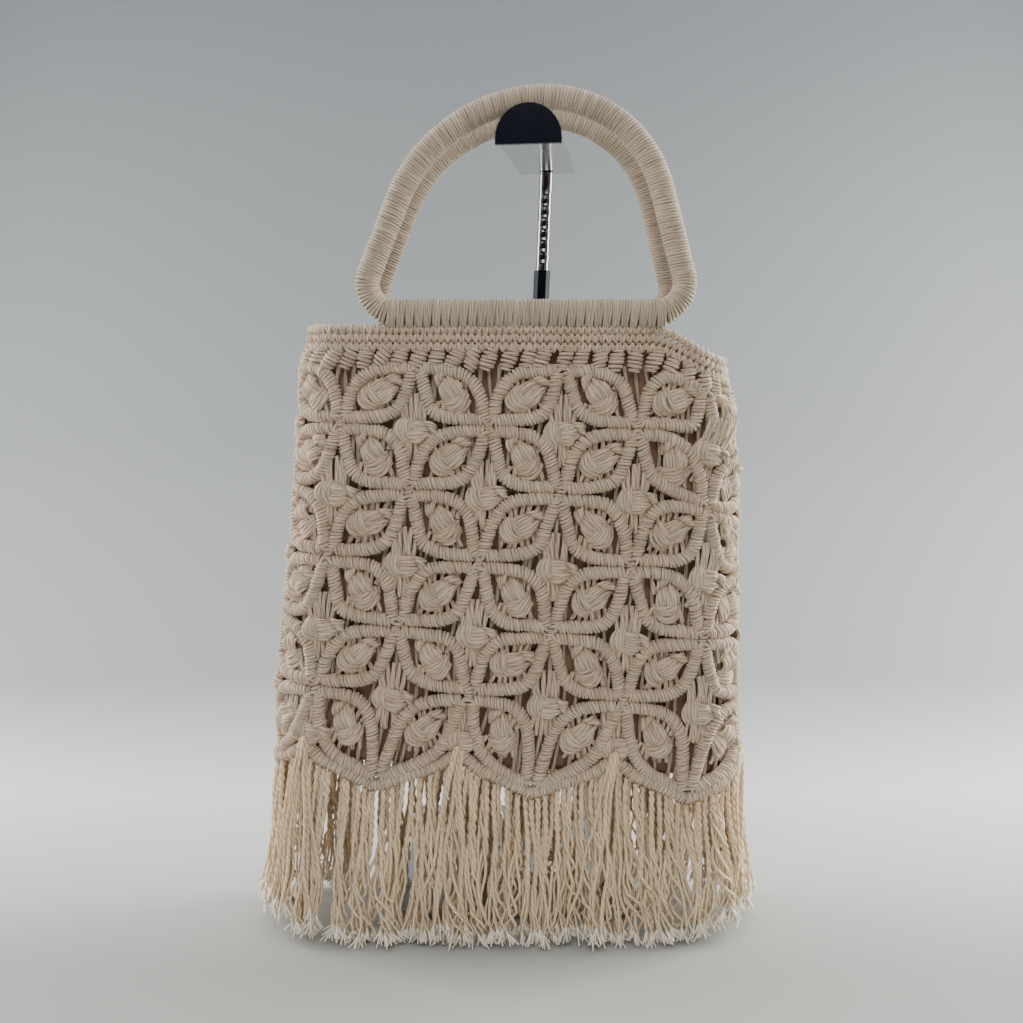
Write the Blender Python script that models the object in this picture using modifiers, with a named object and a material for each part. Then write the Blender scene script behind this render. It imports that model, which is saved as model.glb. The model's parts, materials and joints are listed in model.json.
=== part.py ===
"""Macrame hand bag with two wrapped ring handles, hung by them on a plain display stand.

Metres, +Z up. The front looks along -Y. The origin is the centre of the stand base's underside.
"""
import math

import bpy
from mathutils import Matrix, Vector

# Bag, as it hangs
BAG_WIDTH = 0.285
BAG_DEPTH = 0.060
FRONT_BULGE = 0.004
FRINGE_LENGTH = 0.085
EDGING_HEIGHT = 0.0115
EDGING_GAP = 0.0009
BODY_HEIGHT = 0.2447
BAND_HEIGHT = 0.0215
BAG_SETBACK = 0.075
RIGHT_DROOP = 0.018
CLEARANCE = 0.0003

# Walls
BODY_WALL = 0.0075
BAND_WALL = 0.0055
LINING_WALL = 0.0012
LINING_GAP = 0.0020
LINING_RISE = 0.008
LINING_HEM = 0.006

# Knotted lattice: a node where four leaf tips meet, a berry between nodes
REPEATS = 7
RIDGE_SHARE = 0.84
HOLLOW_SHARE = 0.60
NODE_DEPTH = 0.0030
SEAM_DEPTH = 0.0046
BERRY_DEPTH = 0.0008
HOLLOW_DEPTH = 0.0034
HEART_DEPTH = 0.0012
SLIT_HALF_WIDTH = 0.045
HEM_RISE = 0.0225

# Fringe
LOCKS_PER_COLUMN = 4
LOCK_SHARE = 0.8
LOCK_THICKNESS = 0.0045
LOCK_TAPER = 0.85
LOCK_SWAY = 0.30
LOCK_SHORTEST = 0.93

# Wrapped handles
HANDLE_HEIGHT = 0.1277
HANDLE_THICKNESS = 0.014
ARCH_RADIUS = 0.0835
LEG_FLARE = math.radians(19.0)
CORNER_RADIUS = 0.015
HANDLE_LEAN = 0.0103
HANDLE_HANG = 0.007
BACK_HANG = 0.001
BACK_TILT = math.radians(7.5)

# Display stand
BASE_WIDTH = 0.150
BASE_LENGTH = 0.160
BASE_THICKNESS = 0.006
BASE_EDGE = 0.0012
ARM_RADIUS = 0.0165
ARM_SKIRT = 0.0020
ARM_FRONT = 0.042
ARM_BACK = 0.050
ARM_FRONT_OFFSET = 0.0056
ARM_YAW = math.radians(8.0)
CAP_THICKNESS = 0.003
CAP_LIP = 0.0012
POST_RADIUS = 0.0050
POST_HEIGHT = 0.399
POST_BORE_DEPTH = 0.030
ROD_RADIUS = 0.0040
POST_INSET = 0.006
POST_FOOT_BEHIND = 0.062

# Heights that follow from the sizes above
TIP_HEIGHT = FRINGE_LENGTH + EDGING_HEIGHT
BODY_TOP = TIP_HEIGHT + BODY_HEIGHT
BAND_FOOT = BODY_TOP + CLEARANCE
BAG_TOP = BAND_FOOT + BAND_HEIGHT
COLUMNS = 2 * REPEATS

# The bag's section: height as a share of the bag's top, width and depth as shares of the bag's, the
# slope at which the rows fall to the right, and how far it hangs aside as a share of the bag's width
SECTIONS = (
    {"height": 0.00, "width": 1.060, "depth": 1.14, "slope": 0.000, "lean": -0.028},
    {"height": 0.12, "width": 1.035, "depth": 1.09, "slope": 0.020, "lean": -0.025},
    {"height": 0.25, "width": 1.000, "depth": 1.02, "slope": 0.045, "lean": -0.021},
    {"height": 0.42, "width": 0.978, "depth": 1.00, "slope": 0.050, "lean": -0.020},
    {"height": 0.63, "width": 0.940, "depth": 1.03, "slope": 0.035, "lean": -0.008},
    {"height": 0.80, "width": 0.915, "depth": 1.00, "slope": 0.022, "lean": 0.000},
    {"height": 0.93, "width": 0.892, "depth": 0.95, "slope": 0.012, "lean": 0.000},
    {"height": 0.96, "width": 0.868, "depth": 0.93, "slope": 0.006, "lean": 0.000},
    {"height": 1.00, "width": 0.853, "depth": 0.93, "slope": 0.000, "lean": 0.000},
)

# Rows of the lattice, from the V tips up: height as a share of the body's, and how far the first
# column stands from the front's middle, in repeats
ROWS = (
    {"height": 0.000, "shift": -0.350},
    {"height": 0.223, "shift": -0.250},
    {"height": 0.380, "shift": -0.240},
    {"height": 0.544, "shift": -0.230},
    {"height": 0.708, "shift": -0.215},
    {"height": 0.859, "shift": -0.200},
    {"height": 1.000, "shift": -0.190},
)

# Soft vertical dents in the outer face: place round the bag, height and reach as shares, depth as a
# share of the body's wall
DENTS = (
    {"round": -0.170, "height": 0.92, "reach": 0.016, "length": 0.13, "depth": 0.50},
    {"round": 0.172, "height": 0.88, "reach": 0.018, "length": 0.16, "depth": 0.42},
    {"round": 0.060, "height": 0.60, "reach": 0.030, "length": 0.20, "depth": 0.22},
    {"round": -0.090, "height": 0.45, "reach": 0.030, "length": 0.18, "depth": 0.22},
    {"round": 0.520, "height": 0.70, "reach": 0.040, "length": 0.25, "depth": 0.30},
)

# Half of a leaf's ridge line in its rectangle, across and up. The rest is the same half turned round.
LEAF_HALF = (
    {"across": 0.05, "up": 0.07},
    {"across": 0.42, "up": 0.06},
    {"across": 0.82, "up": 0.20},
    {"across": 0.94, "up": 0.60},
)

# A rectangle's edges: the seam beside a berry, and the slit beside a node, as shares of the edge
SEAM_PLACE = 0.75
SLIT_ENDS = {"low": 0.05, "middle": 0.16, "high": 0.30}
HEM_BEND = 0.62
BERRY_REACH = 0.25

# Section of the stitched band: depth as a share of its wall, height as a share of the band
BAND_PROFILE = (
    {"depth": 1.00, "height": 0.00},
    {"depth": 0.25, "height": 0.00},
    {"depth": -0.15, "height": 0.15},
    {"depth": 0.25, "height": 0.32},
    {"depth": 0.00, "height": 0.44},
    {"depth": 0.25, "height": 0.56},
    {"depth": 0.00, "height": 0.68},
    {"depth": 0.25, "height": 0.78},
    {"depth": 0.00, "height": 0.90},
    {"depth": 0.20, "height": 1.00},
    {"depth": 1.00, "height": 1.00},
)

# Section of the scalloped edging: depth as a share of the body's wall, drop as a share of its height
EDGING_PROFILE = (
    {"depth": 0.92, "drop": 0.00},
    {"depth": 0.40, "drop": 0.00},
    {"depth": -0.05, "drop": 0.45},
    {"depth": 0.25, "drop": 1.00},
    {"depth": 0.88, "drop": 1.00},
)


def clear_scene():
    for item in list(bpy.data.objects):
        bpy.data.objects.remove(item)


def smooth_step(value):
    share = min(1.0, max(0.0, value))
    return share * share * (3.0 - 2.0 * share)


def material(name, color, roughness, metallic=0.0):
    finish = bpy.data.materials.new(name)
    finish.use_nodes = True
    shader = finish.node_tree.nodes["Principled BSDF"]
    shader.inputs["Base Color"].default_value = (*color, 1.0)
    shader.inputs["Roughness"].default_value = roughness
    shader.inputs["Metallic"].default_value = metallic
    return finish


def link_part(item, finish):
    item.data.materials.append(finish)
    bpy.data.collections["macrame_bag"].objects.link(item)
    return item


def mesh_part(name, points, faces, finish):
    mesh = bpy.data.meshes.new(name)
    mesh.from_pydata([tuple(point) for point in points], [], faces)
    mesh.validate()
    return link_part(bpy.data.objects.new(name, mesh), finish)


def read_table(table, share, column):
    """A column of a table, read between the two rows on either side of a share of the height."""
    share = min(table[-1]["height"], max(table[0]["height"], share))
    for low, high in zip(table, table[1:]):
        if share <= high["height"]:
            break
    mix = (share - low["height"]) / (high["height"] - low["height"])
    return low[column] + (high[column] - low[column]) * mix


def section_at(height):
    """Width and depth of the bag at a height above the floor."""
    share = height / BAG_TOP
    return BAG_WIDTH * read_table(SECTIONS, share, "width"), BAG_DEPTH * read_table(SECTIONS, share, "depth")


def round_point(turn, width, depth):
    """Place and outward direction on a stadium, a share of the way round from the front's middle."""
    radius = depth / 2
    run = width - depth
    bend = math.pi * radius
    way = (turn % 1.0) * 2 * (run + bend)
    if way < run / 2:
        return Vector((way, -radius)), Vector((0, -1))
    way -= run / 2
    if way < bend:
        out = Vector((math.sin(way / radius), -math.cos(way / radius)))
        return Vector((run / 2, 0)) + radius * out, out
    way -= bend
    if way < run:
        return Vector((run / 2 - way, radius)), Vector((0, 1))
    way -= run
    if way < bend:
        out = Vector((-math.sin(way / radius), math.cos(way / radius)))
        return Vector((-run / 2, 0)) + radius * out, out
    return Vector((-run / 2 + way - bend, -radius)), Vector((0, -1))


def dent_at(turn, height):
    """How far the outer face is dented, as a share of the body's wall."""
    total = 0.0
    for dent in DENTS:
        aside = (turn - dent["round"] + 0.5) % 1.0 - 0.5
        along = height / BAG_TOP - dent["height"]
        total += dent["depth"] * math.exp(-(aside / dent["reach"]) ** 2 - (along / dent["length"]) ** 2)
    return total


def skin(turn, height, depth_in):
    """A point of the bag, so far in from its outer face. The right end hangs lower."""
    width, depth = section_at(height)
    place, out = round_point(turn, width, depth)
    belly = FRONT_BULGE * (1.0 - (2 * place.x / width) ** 2)
    outer_share = min(1.0, max(0.0, 1.0 - depth_in / BODY_WALL))
    dent = BODY_WALL * dent_at(turn, height) * outer_share
    place = place - (depth_in + dent) * out
    place.y += belly * out.y
    end = smooth_step((2 * place.x / width - 0.60) / 0.38)
    droop = RIGHT_DROOP * end * smooth_step((height / BAG_TOP - 0.45) / 0.50)
    droop += read_table(SECTIONS, height / BAG_TOP, "slope") * place.x
    lean = BAG_WIDTH * read_table(SECTIONS, height / BAG_TOP, "lean")
    return Vector((place.x + lean, place.y - BAG_SETBACK, height - droop))


def column_turn(column, height):
    """Share of the way round at a column of the lattice."""
    shift = read_table(ROWS, (height - TIP_HEIGHT) / BODY_HEIGHT, "shift")
    return (column / 2 + shift) / REPEATS


def hem_height(column):
    """Lower edge of the body: a V tip at each odd column and a peak at each even one."""
    aside = abs((column % 2.0) - 1.0)
    if aside < SEAM_PLACE:
        rise = HEM_BEND * aside / SEAM_PLACE
    else:
        rise = HEM_BEND + (1.0 - HEM_BEND) * (aside - SEAM_PLACE) / (1.0 - SEAM_PLACE)
    return TIP_HEIGHT + HEM_RISE * rise


def lattice_height(column, row):
    """Height at a place in the lattice, whose lowest row starts at the scalloped hem."""
    if row < 1.0:
        top = TIP_HEIGHT + BODY_HEIGHT * ROWS[1]["height"]
        hem = hem_height(column)
        return hem + (top - hem) * row
    floor_row = min(len(ROWS) - 2, int(row))
    low, high = ROWS[floor_row]["height"], ROWS[floor_row + 1]["height"]
    return TIP_HEIGHT + BODY_HEIGHT * (low + (high - low) * (row - floor_row))


def lattice_point(column, row, depth_in):
    height = lattice_height(column, row)
    return skin(column_turn(column, height), height, depth_in)


def turned_half(half):
    """A ring of points from its half: the second half is the first turned about the middle."""
    return half + [(1 - across, 1 - up, depth) for across, up, depth in half]


def leaf_ring(share, depth):
    half = []
    for point in LEAF_HALF:
        across = 0.5 + share * (point["across"] - 0.5)
        up = 0.5 + share * (point["up"] - 0.5)
        half.append((across, up, depth))
    return turned_half(half)


def rectangle_edge(low_splits, high_splits):
    """Edge of a rectangle with nodes at its lower left and upper right, berries at the others."""
    side = [
        (1, 0, BERRY_DEPTH),
        (1, BERRY_REACH, SEAM_DEPTH),
        (1, 1 - SLIT_ENDS["high"], SEAM_DEPTH),
        (1 - SLIT_HALF_WIDTH, 1 - SLIT_ENDS["middle"], SEAM_DEPTH),
        (1, 1 - SLIT_ENDS["low"], SEAM_DEPTH),
    ]
    low = [(0, 0, NODE_DEPTH)] + [(split, 0, SEAM_DEPTH) for split in low_splits]
    high = [(1, 1, NODE_DEPTH)] + [(1 - split, 1, SEAM_DEPTH) for split in high_splits]
    left = [(1 - across, 1 - up, depth) for across, up, depth in side]
    return low + side + high + left


def edge_splits(column, row):
    """Where a rectangle's level edge has points: closer round the sides, at the hem and at the top."""
    quarters = (0.25, 0.5, SEAM_PLACE)
    if row in (0, len(ROWS) - 1):
        return quarters
    width, depth = section_at(lattice_height(column, row))
    middle = column_turn(column + 0.5, lattice_height(column, row))
    out = round_point(middle, width - BODY_WALL, depth)[1]
    start = round_point(column_turn(column, BODY_TOP), width, depth)[1]
    end = round_point(column_turn(column + 1, BODY_TOP), width, depth)[1]
    is_round = abs(out.x) + abs(start.x) + abs(end.x) > 0.1
    return quarters if is_round else (SEAM_PLACE,)


def zip_rings(outer, inner):
    """Triangles between two rings of (turn, vertex) pairs, both in the order of their turns."""
    outer = outer + [(outer[0][0] + math.tau, outer[0][1])]
    inner = inner + [(inner[0][0] + math.tau, inner[0][1])]
    faces = []
    i = j = 0
    while i < len(outer) - 1 or j < len(inner) - 1:
        outer_next = outer[i + 1][0] if i < len(outer) - 1 else math.inf
        inner_next = inner[j + 1][0] if j < len(inner) - 1 else math.inf
        if outer_next <= inner_next:
            faces.append((outer[i][1], outer[i + 1][1], inner[j][1]))
            i += 1
        else:
            faces.append((outer[i][1], inner[j + 1][1], inner[j][1]))
            j += 1
    return faces


class LatticeMesh:
    """Points and faces of the knotted wall, with the points on shared edges found again by place."""

    def __init__(self):
        self.points = []
        self.found = {}
        self.twin = {}

    def vertex(self, column, row, depth_in, inside):
        key = (round(column % COLUMNS, 4), round(row, 4), inside)
        if key not in self.found:
            self.found[key] = len(self.points)
            self.points.append(lattice_point(column, row, BODY_WALL if inside else depth_in))
        return self.found[key]

    def ring(self, cell, points, inside=False):
        """Vertices of a ring in a cell, with their turns about the cell's middle, in order."""
        column, row, mirrored = cell
        ring = []
        for across, up, depth in points:
            across = 1 - across if mirrored else across
            turn = math.atan2(up - 0.5, across - 0.5) % math.tau
            ring.append((turn, self.vertex(column + across, row + up, depth, inside)))
        return sorted(ring)


def fan(ring, heart):
    closed = ring + ring[:1]
    return [(first[1], second[1], heart) for first, second in zip(closed, closed[1:])]


def cell_faces(lattice, column, row):
    """Outer and inner faces of one rectangle of the lattice and the leaf in it."""
    mirrored = (column + row) % 2 == 0
    cell = (column, row, mirrored)
    low_splits = edge_splits(column, row)
    high_splits = edge_splits(column, row + 1)
    border = rectangle_edge(low_splits, high_splits)
    edge = lattice.ring(cell, border)
    ridge = lattice.ring(cell, leaf_ring(RIDGE_SHARE, 0.0))
    hollow = lattice.ring(cell, leaf_ring(HOLLOW_SHARE, HOLLOW_DEPTH))
    heart = lattice.vertex(column + 0.5, row + 0.5, HEART_DEPTH, False)
    outer = zip_rings(edge, ridge) + zip_rings(ridge, hollow) + fan(hollow, heart)

    back = lattice.ring(cell, border, inside=True)
    back_heart = lattice.vertex(column + 0.5, row + 0.5, 0.0, True)
    inner = []
    if len(low_splits) > 1 and len(high_splits) > 1:
        third = [(across, 0.33, 0.0) for across in (0.25, 0.5, 0.75)]
        back_ring = lattice.ring(cell, turned_half(third), inside=True)
        inner = zip_rings(back, back_ring) + fan(back_ring, back_heart)
    else:
        inner = fan(back, back_heart)
    for (_, front_vertex), (_, back_vertex) in zip(edge, back):
        lattice.twin[front_vertex] = back_vertex
    return outer, inner


def rim_faces(outer, twin):
    """Walls between the outer and inner faces round each slit and along the open edges."""
    edges = set()
    for face in outer:
        edges.update(zip(face, face[1:] + face[:1]))
    rims = []
    for start, end in sorted(edges):
        if (end, start) not in edges:
            rims.append((end, start, twin[start], twin[end]))
    return rims


def make_body(finish):
    """The knotted wall: a leaf in each rectangle, cut through at the slits beside each node."""
    lattice = LatticeMesh()
    outer = []
    inner = []
    for row in range(len(ROWS) - 1):
        for column in range(COLUMNS):
            cell_outer, cell_inner = cell_faces(lattice, column, row)
            outer += cell_outer
            inner += cell_inner
    faces = outer + [face[::-1] for face in inner] + rim_faces(outer, lattice.twin)
    return mesh_part("macrame_body", lattice.points, faces, finish)


def hoop_faces(rounds, count):
    """Faces of a closed hoop of rounds with the same number of points in each."""
    faces = []
    for index in range(rounds):
        following = (index + 1) % rounds
        for point in range(count):
            beside = (point + 1) % count
            faces.append((index * count + point, index * count + beside,
                          following * count + beside, following * count + point))
    return faces


def make_band(finish):
    points = []
    steps = 4 * COLUMNS
    for step in range(steps):
        turn = column_turn(step / 4, BODY_TOP)
        for place in BAND_PROFILE:
            height = BAND_FOOT + BAND_HEIGHT * place["height"]
            points.append(skin(turn, height, BAND_WALL * place["depth"]))
    faces = [face[::-1] for face in hoop_faces(steps, len(BAND_PROFILE))]
    return mesh_part("top_band", points, faces, finish)


def make_lining(finish):
    """A cloth pouch inside the knots, open at the top and closed below."""
    foot = TIP_HEIGHT + LINING_RISE
    heights = [foot + 0.004]
    heights += [TIP_HEIGHT + BODY_HEIGHT * row["height"] for row in ROWS[2::2]]
    heights.append(BAG_TOP - LINING_HEM)
    steps = 4 * COLUMNS
    depth_in = BODY_WALL + LINING_GAP
    points = [skin(column_turn(step / 4, foot), foot, depth_in + 0.004) for step in range(steps)]
    for height in heights:
        points += [skin(column_turn(step / 4, height), height, depth_in) for step in range(steps)]
    faces = [tuple(reversed(range(steps)))]
    for level in range(len(heights)):
        for step in range(steps):
            beside = (step + 1) % steps
            faces.append((level * steps + step, level * steps + beside,
                          (level + 1) * steps + beside, (level + 1) * steps + step))
    pouch = mesh_part("lining", points, faces, finish)
    shell = pouch.modifiers.new("cloth", "SOLIDIFY")
    shell.thickness = LINING_WALL
    shell.offset = -1.0
    return pouch


def on_base(point):
    """Whether a place lies over the stand's base plate, with room to spare."""
    margin = 0.008
    return abs(point.x) < BASE_WIDTH / 2 + margin and abs(point.y) < BASE_LENGTH / 2 + margin


def lock_levels(index, start, end):
    """Rings of four points down one lock, from under the edging to its end near the floor."""
    middle = (start + end) / 2
    half = (end - start) / 2
    sway = LOCK_SWAY * half * math.sin(2.4 * index)
    top = min(hem_height(start), hem_height(end)) - EDGING_GAP - EDGING_HEIGHT
    shortfall = 0.5 * (1.0 + math.sin(1.7 * index + 0.8)) * (1.0 - LOCK_SHORTEST)
    rings = []
    for share in (0.5, 1.0):
        narrow = half * (1.0 - (1.0 - LOCK_TAPER) * share)
        centre = middle + sway * share
        spread = 0.0015 * math.sin(3.1 * index) * share
        bottom = shortfall * FRINGE_LENGTH
        height = top + (bottom - top) * share
        ring = []
        for column, depth in ((centre - narrow, 0.0), (centre + narrow, 0.0),
                              (centre + narrow, 1.0), (centre - narrow, 1.0)):
            turn = column_turn(column, height)
            depth_in = 0.25 * BODY_WALL + spread + LOCK_THICKNESS * depth
            ring.append(skin(turn, height, depth_in))
        if share == 1.0 and any(on_base(point) for point in ring):
            lift = BASE_THICKNESS + CLEARANCE
            for point in ring:
                point.z += lift * (1.0 - bottom / FRINGE_LENGTH)
        rings.append(ring)
    return rings


def make_fringe(finish):
    """Scalloped edging under the body, with locks of cord fused to its underside."""
    count = len(EDGING_PROFILE)
    edges = []
    for index in range(COLUMNS * LOCKS_PER_COLUMN):
        start = index / LOCKS_PER_COLUMN
        edges += [start, start + LOCK_SHARE / LOCKS_PER_COLUMN]
    points = []
    for column in edges:
        height = hem_height(column) - EDGING_GAP
        for place in EDGING_PROFILE:
            level = height - EDGING_HEIGHT * place["drop"]
            turn = column_turn(column, hem_height(column))
            points.append(skin(turn, level, BODY_WALL * place["depth"]))
    rounds = len(edges)
    faces = []
    for index in range(rounds):
        following = (index + 1) % rounds
        for point in range(count):
            beside = (point + 1) % count
            is_under = point == count - 2
            if is_under and index % 2 == 0:
                continue
            faces.append((index * count + point, following * count + point,
                          following * count + beside, index * count + beside))
    for lock in range(COLUMNS * LOCKS_PER_COLUMN):
        index = 2 * lock
        following = (index + 1) % rounds
        outer, inner = count - 2, count - 1
        ring = [index * count + outer, following * count + outer,
                following * count + inner, index * count + inner]
        for level in lock_levels(lock, edges[index], edges[index + 1]):
            below = list(range(len(points), len(points) + 4))
            points += level
            for side in range(4):
                beside = (side + 1) % 4
                faces.append((ring[side], ring[beside], below[beside], below[side]))
            ring = below
        faces.append(tuple(ring))
    return mesh_part("fringe", points, [face[::-1] for face in faces], finish)


def handle_place():
    """How far the handles' rings stand in front of and behind the bag's middle plane."""
    depth = section_at(BAG_TOP)[1]
    return depth / 2 + 0.75 * FRONT_BULGE - BAND_WALL / 2


def arm_offset(behind):
    """The arm's sideways place at a distance behind the bag's middle plane."""
    return ARM_FRONT_OFFSET + (behind + ARM_FRONT) * math.tan(ARM_YAW)


def handle_outline():
    """Centre line of a ring, across and up from the bar: a bar, two corners, two legs and an arch."""
    tube = HANDLE_THICKNESS / 2
    radius = ARCH_RADIUS - tube
    height = HANDLE_HEIGHT - HANDLE_THICKNESS
    arch_up = height - radius
    leg_top = Vector((radius * math.cos(LEG_FLARE), arch_up + radius * math.sin(LEG_FLARE)))
    corner_up = CORNER_RADIUS
    leg_across = leg_top.x + (leg_top.y - corner_up) * math.tan(LEG_FLARE)
    corner_across = leg_across - CORNER_RADIUS / math.cos(LEG_FLARE)
    right = []
    arch_steps = 8
    for step in range(arch_steps + 1):
        angle = LEG_FLARE + (math.pi / 2 - LEG_FLARE) * (1 - step / arch_steps)
        right.append((radius * math.cos(angle), arch_up + radius * math.sin(angle)))
    corner_steps = 6
    for step in range(corner_steps + 1):
        angle = LEG_FLARE - (LEG_FLARE + math.pi / 2) * step / corner_steps
        right.append((corner_across + CORNER_RADIUS * math.cos(angle),
                      corner_up + CORNER_RADIUS * math.sin(angle)))
    left = [(-across, up) for across, up in reversed(right)]
    outline = right + left[:-1]
    return [(across + HANDLE_LEAN * (up / height) ** 2, up) for across, up in outline]


def make_handle(name, behind, hang, tilt, finish):
    """A ring whose arch hangs on the arm, and whose top may tilt to the front about its bar."""
    curve = bpy.data.curves.new(name, "CURVE")
    curve.dimensions = "3D"
    curve.bevel_depth = HANDLE_THICKNESS / 2
    curve.bevel_resolution = 2
    outline = handle_outline()
    spline = curve.splines.new("POLY")
    spline.points.add(len(outline) - 1)
    spline.use_cyclic_u = True
    for point, (across, up) in zip(spline.points, outline):
        point.co = (across, 0.0, up, 1.0)
    ring = bpy.data.objects.new(name, curve)
    height = HANDLE_HEIGHT - HANDLE_THICKNESS
    sideways = arm_offset(behind - height * math.sin(tilt)) + hang - HANDLE_LEAN
    top = arch_centre(hang) + ARCH_RADIUS - HANDLE_THICKNESS / 2
    ring.location = (sideways, behind - BAG_SETBACK, top - height * math.cos(tilt))
    ring.rotation_euler.x = tilt
    return link_part(ring, finish)


def hang_depth(hang):
    """How far an arch's centre is under the arm's round centre, when it hangs so far aside of it."""
    reach = ARCH_RADIUS - HANDLE_THICKNESS - ARM_RADIUS - CLEARANCE
    return math.sqrt(reach ** 2 - hang ** 2)


def arm_height():
    """Height of the arm's round centre, which carries the front handle's arch."""
    arch_top = BAG_TOP + CLEARANCE + HANDLE_HEIGHT
    return arch_top - ARCH_RADIUS + hang_depth(HANDLE_HANG)


def arch_centre(hang):
    return arm_height() - hang_depth(hang)


def half_round(name, radius, skirt, length, finish):
    """A bar with a round top and a flat underside, its length along Y from the origin back."""
    curve = bpy.data.curves.new(name, "CURVE")
    curve.dimensions = "2D"
    curve.fill_mode = "BOTH"
    curve.extrude = length / 2
    steps = 16
    outline = [(radius, -skirt)]
    for step in range(steps + 1):
        angle = math.pi * step / steps
        outline.append((radius * math.cos(angle), radius * math.sin(angle)))
    outline.append((-radius, -skirt))
    spline = curve.splines.new("POLY")
    spline.points.add(len(outline) - 1)
    spline.use_cyclic_u = True
    for point, (across, up) in zip(spline.points, outline):
        point.co = (across, up, 0.0, 1.0)
    bar = bpy.data.objects.new(name, curve)
    return link_part(bar, finish)


def place_on_arm(bar, along, length):
    """Set a bar's front a distance along the arm, which is turned by its yaw."""
    upright = Matrix.Rotation(math.pi / 2, 4, "X")
    yaw = Matrix.Rotation(-ARM_YAW, 4, "Z")
    middle = Matrix.Translation((0.0, along + length / 2, 0.0))
    start = Vector((ARM_FRONT_OFFSET, -ARM_FRONT - BAG_SETBACK, arm_height()))
    bar.matrix_world = Matrix.Translation(start) @ yaw @ middle @ upright


def make_arm(chrome, black):
    length = (ARM_FRONT + ARM_BACK) / math.cos(ARM_YAW)
    arm = half_round("stand_arm", ARM_RADIUS, ARM_SKIRT, length, chrome)
    place_on_arm(arm, 0.0, length)
    cap = half_round("stand_cap", ARM_RADIUS + CAP_LIP, ARM_SKIRT + CAP_LIP, CAP_THICKNESS, black)
    place_on_arm(cap, -CAP_THICKNESS - CLEARANCE, CAP_THICKNESS)


def turned_part(name, profile, finish):
    """A round piece from the profile of its outer side, top to bottom, as (radius, height) pairs."""
    mesh = bpy.data.meshes.new(name)
    points = [(radius, 0.0, height) for radius, height in profile]
    edges = [(index, index + 1) for index in range(len(points) - 1)]
    mesh.from_pydata(points, edges, [])
    piece = bpy.data.objects.new(name, mesh)
    screw = piece.modifiers.new("turn", "SCREW")
    screw.steps = 12
    screw.render_steps = 12
    screw.use_merge_vertices = True
    screw.merge_threshold = 0.00001
    return link_part(piece, finish)


def lean_post(piece):
    """Slant an upright piece along the line from the base's foot to the arm's underside."""
    head_height = arm_height() - ARM_SKIRT
    head_behind = ARM_BACK - POST_INSET
    head = Vector((arm_offset(head_behind), head_behind - BAG_SETBACK, head_height))
    foot = Vector((0.0, POST_FOOT_BEHIND - BAG_SETBACK, BASE_THICKNESS))
    slope = (head - foot) / (head.z - foot.z)
    slant = Matrix.Identity(4)
    slant[0][2] = slope.x
    slant[1][2] = slope.y
    slant[0][3] = foot.x - slope.x * foot.z
    slant[1][3] = foot.y - slope.y * foot.z
    graph = bpy.context.evaluated_depsgraph_get()
    mesh = bpy.data.meshes.new_from_object(piece.evaluated_get(graph))
    mesh.transform(slant)
    piece.modifiers.clear()
    piece.data = mesh


def make_post(black, steel):
    foot = BASE_THICKNESS + CLEARANCE
    bore = ROD_RADIUS + CLEARANCE
    top = POST_HEIGHT
    sleeve = turned_part("stand_post", [
        (0.0, top - POST_BORE_DEPTH),
        (bore, top - POST_BORE_DEPTH),
        (bore, top),
        (POST_RADIUS, top),
        (POST_RADIUS, foot),
        (0.0, foot),
    ], black)
    rod_foot = top - POST_BORE_DEPTH + CLEARANCE
    rod_top = arm_height() - ARM_SKIRT - CLEARANCE
    rod = turned_part("stand_rod", [
        (0.0, rod_top),
        (ROD_RADIUS, rod_top),
        (ROD_RADIUS, rod_foot),
        (0.0, rod_foot),
    ], steel)
    for piece in (sleeve, rod):
        lean_post(piece)


def make_base(finish):
    bpy.ops.mesh.primitive_cube_add(size=1.0)
    base = bpy.context.object
    for collection in list(base.users_collection):
        collection.objects.unlink(base)
    base.name = "stand_base"
    base.data.name = "stand_base"
    size = Matrix.Diagonal((BASE_WIDTH, BASE_LENGTH, BASE_THICKNESS, 1.0))
    base.data.transform(Matrix.Translation((0.0, 0.0, BASE_THICKNESS / 2)) @ size)
    edge = base.modifiers.new("edge", "BEVEL")
    edge.width = BASE_EDGE
    edge.segments = 2
    return link_part(base, finish)


def smooth_round_parts():
    for name in ("stand_post", "stand_rod"):
        bpy.data.objects[name].data.shade_smooth()


def main():
    clear_scene()
    collection = bpy.data.collections.new("macrame_bag")
    bpy.context.scene.collection.children.link(collection)
    cotton = material("cotton_cord", (0.66, 0.57, 0.45), 0.95)
    wrapped = material("wrapped_cord", (0.70, 0.61, 0.50), 0.92)
    strands = material("fringe_strands", (0.74, 0.64, 0.48), 0.95)
    cloth = material("lining_cloth", (0.30, 0.22, 0.16), 0.95)
    chrome = material("chrome", (0.80, 0.80, 0.82), 0.12, 1.0)
    black = material("gloss_black", (0.012, 0.012, 0.014), 0.18)
    steel = material("grey_steel", (0.42, 0.43, 0.44), 0.35, 1.0)
    make_body(cotton)
    make_band(cotton)
    make_lining(cloth)
    make_fringe(strands)
    make_handle("handle_front", -handle_place(), HANDLE_HANG, 0.0, wrapped)
    make_handle("handle_back", handle_place(), BACK_HANG, BACK_TILT, wrapped)
    make_base(steel)
    make_arm(chrome, black)
    make_post(black, chrome)
    smooth_round_parts()


main()
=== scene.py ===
"""Looks of the macrame bag: knotted cords, stitched rim, wrapped handles, lining, fringe and stand.

Metres, +Z up, the front looks along -Y. The bag's surface is the one that part.py builds, so its sizes
and tables are repeated here.
"""
import json
import math

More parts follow.
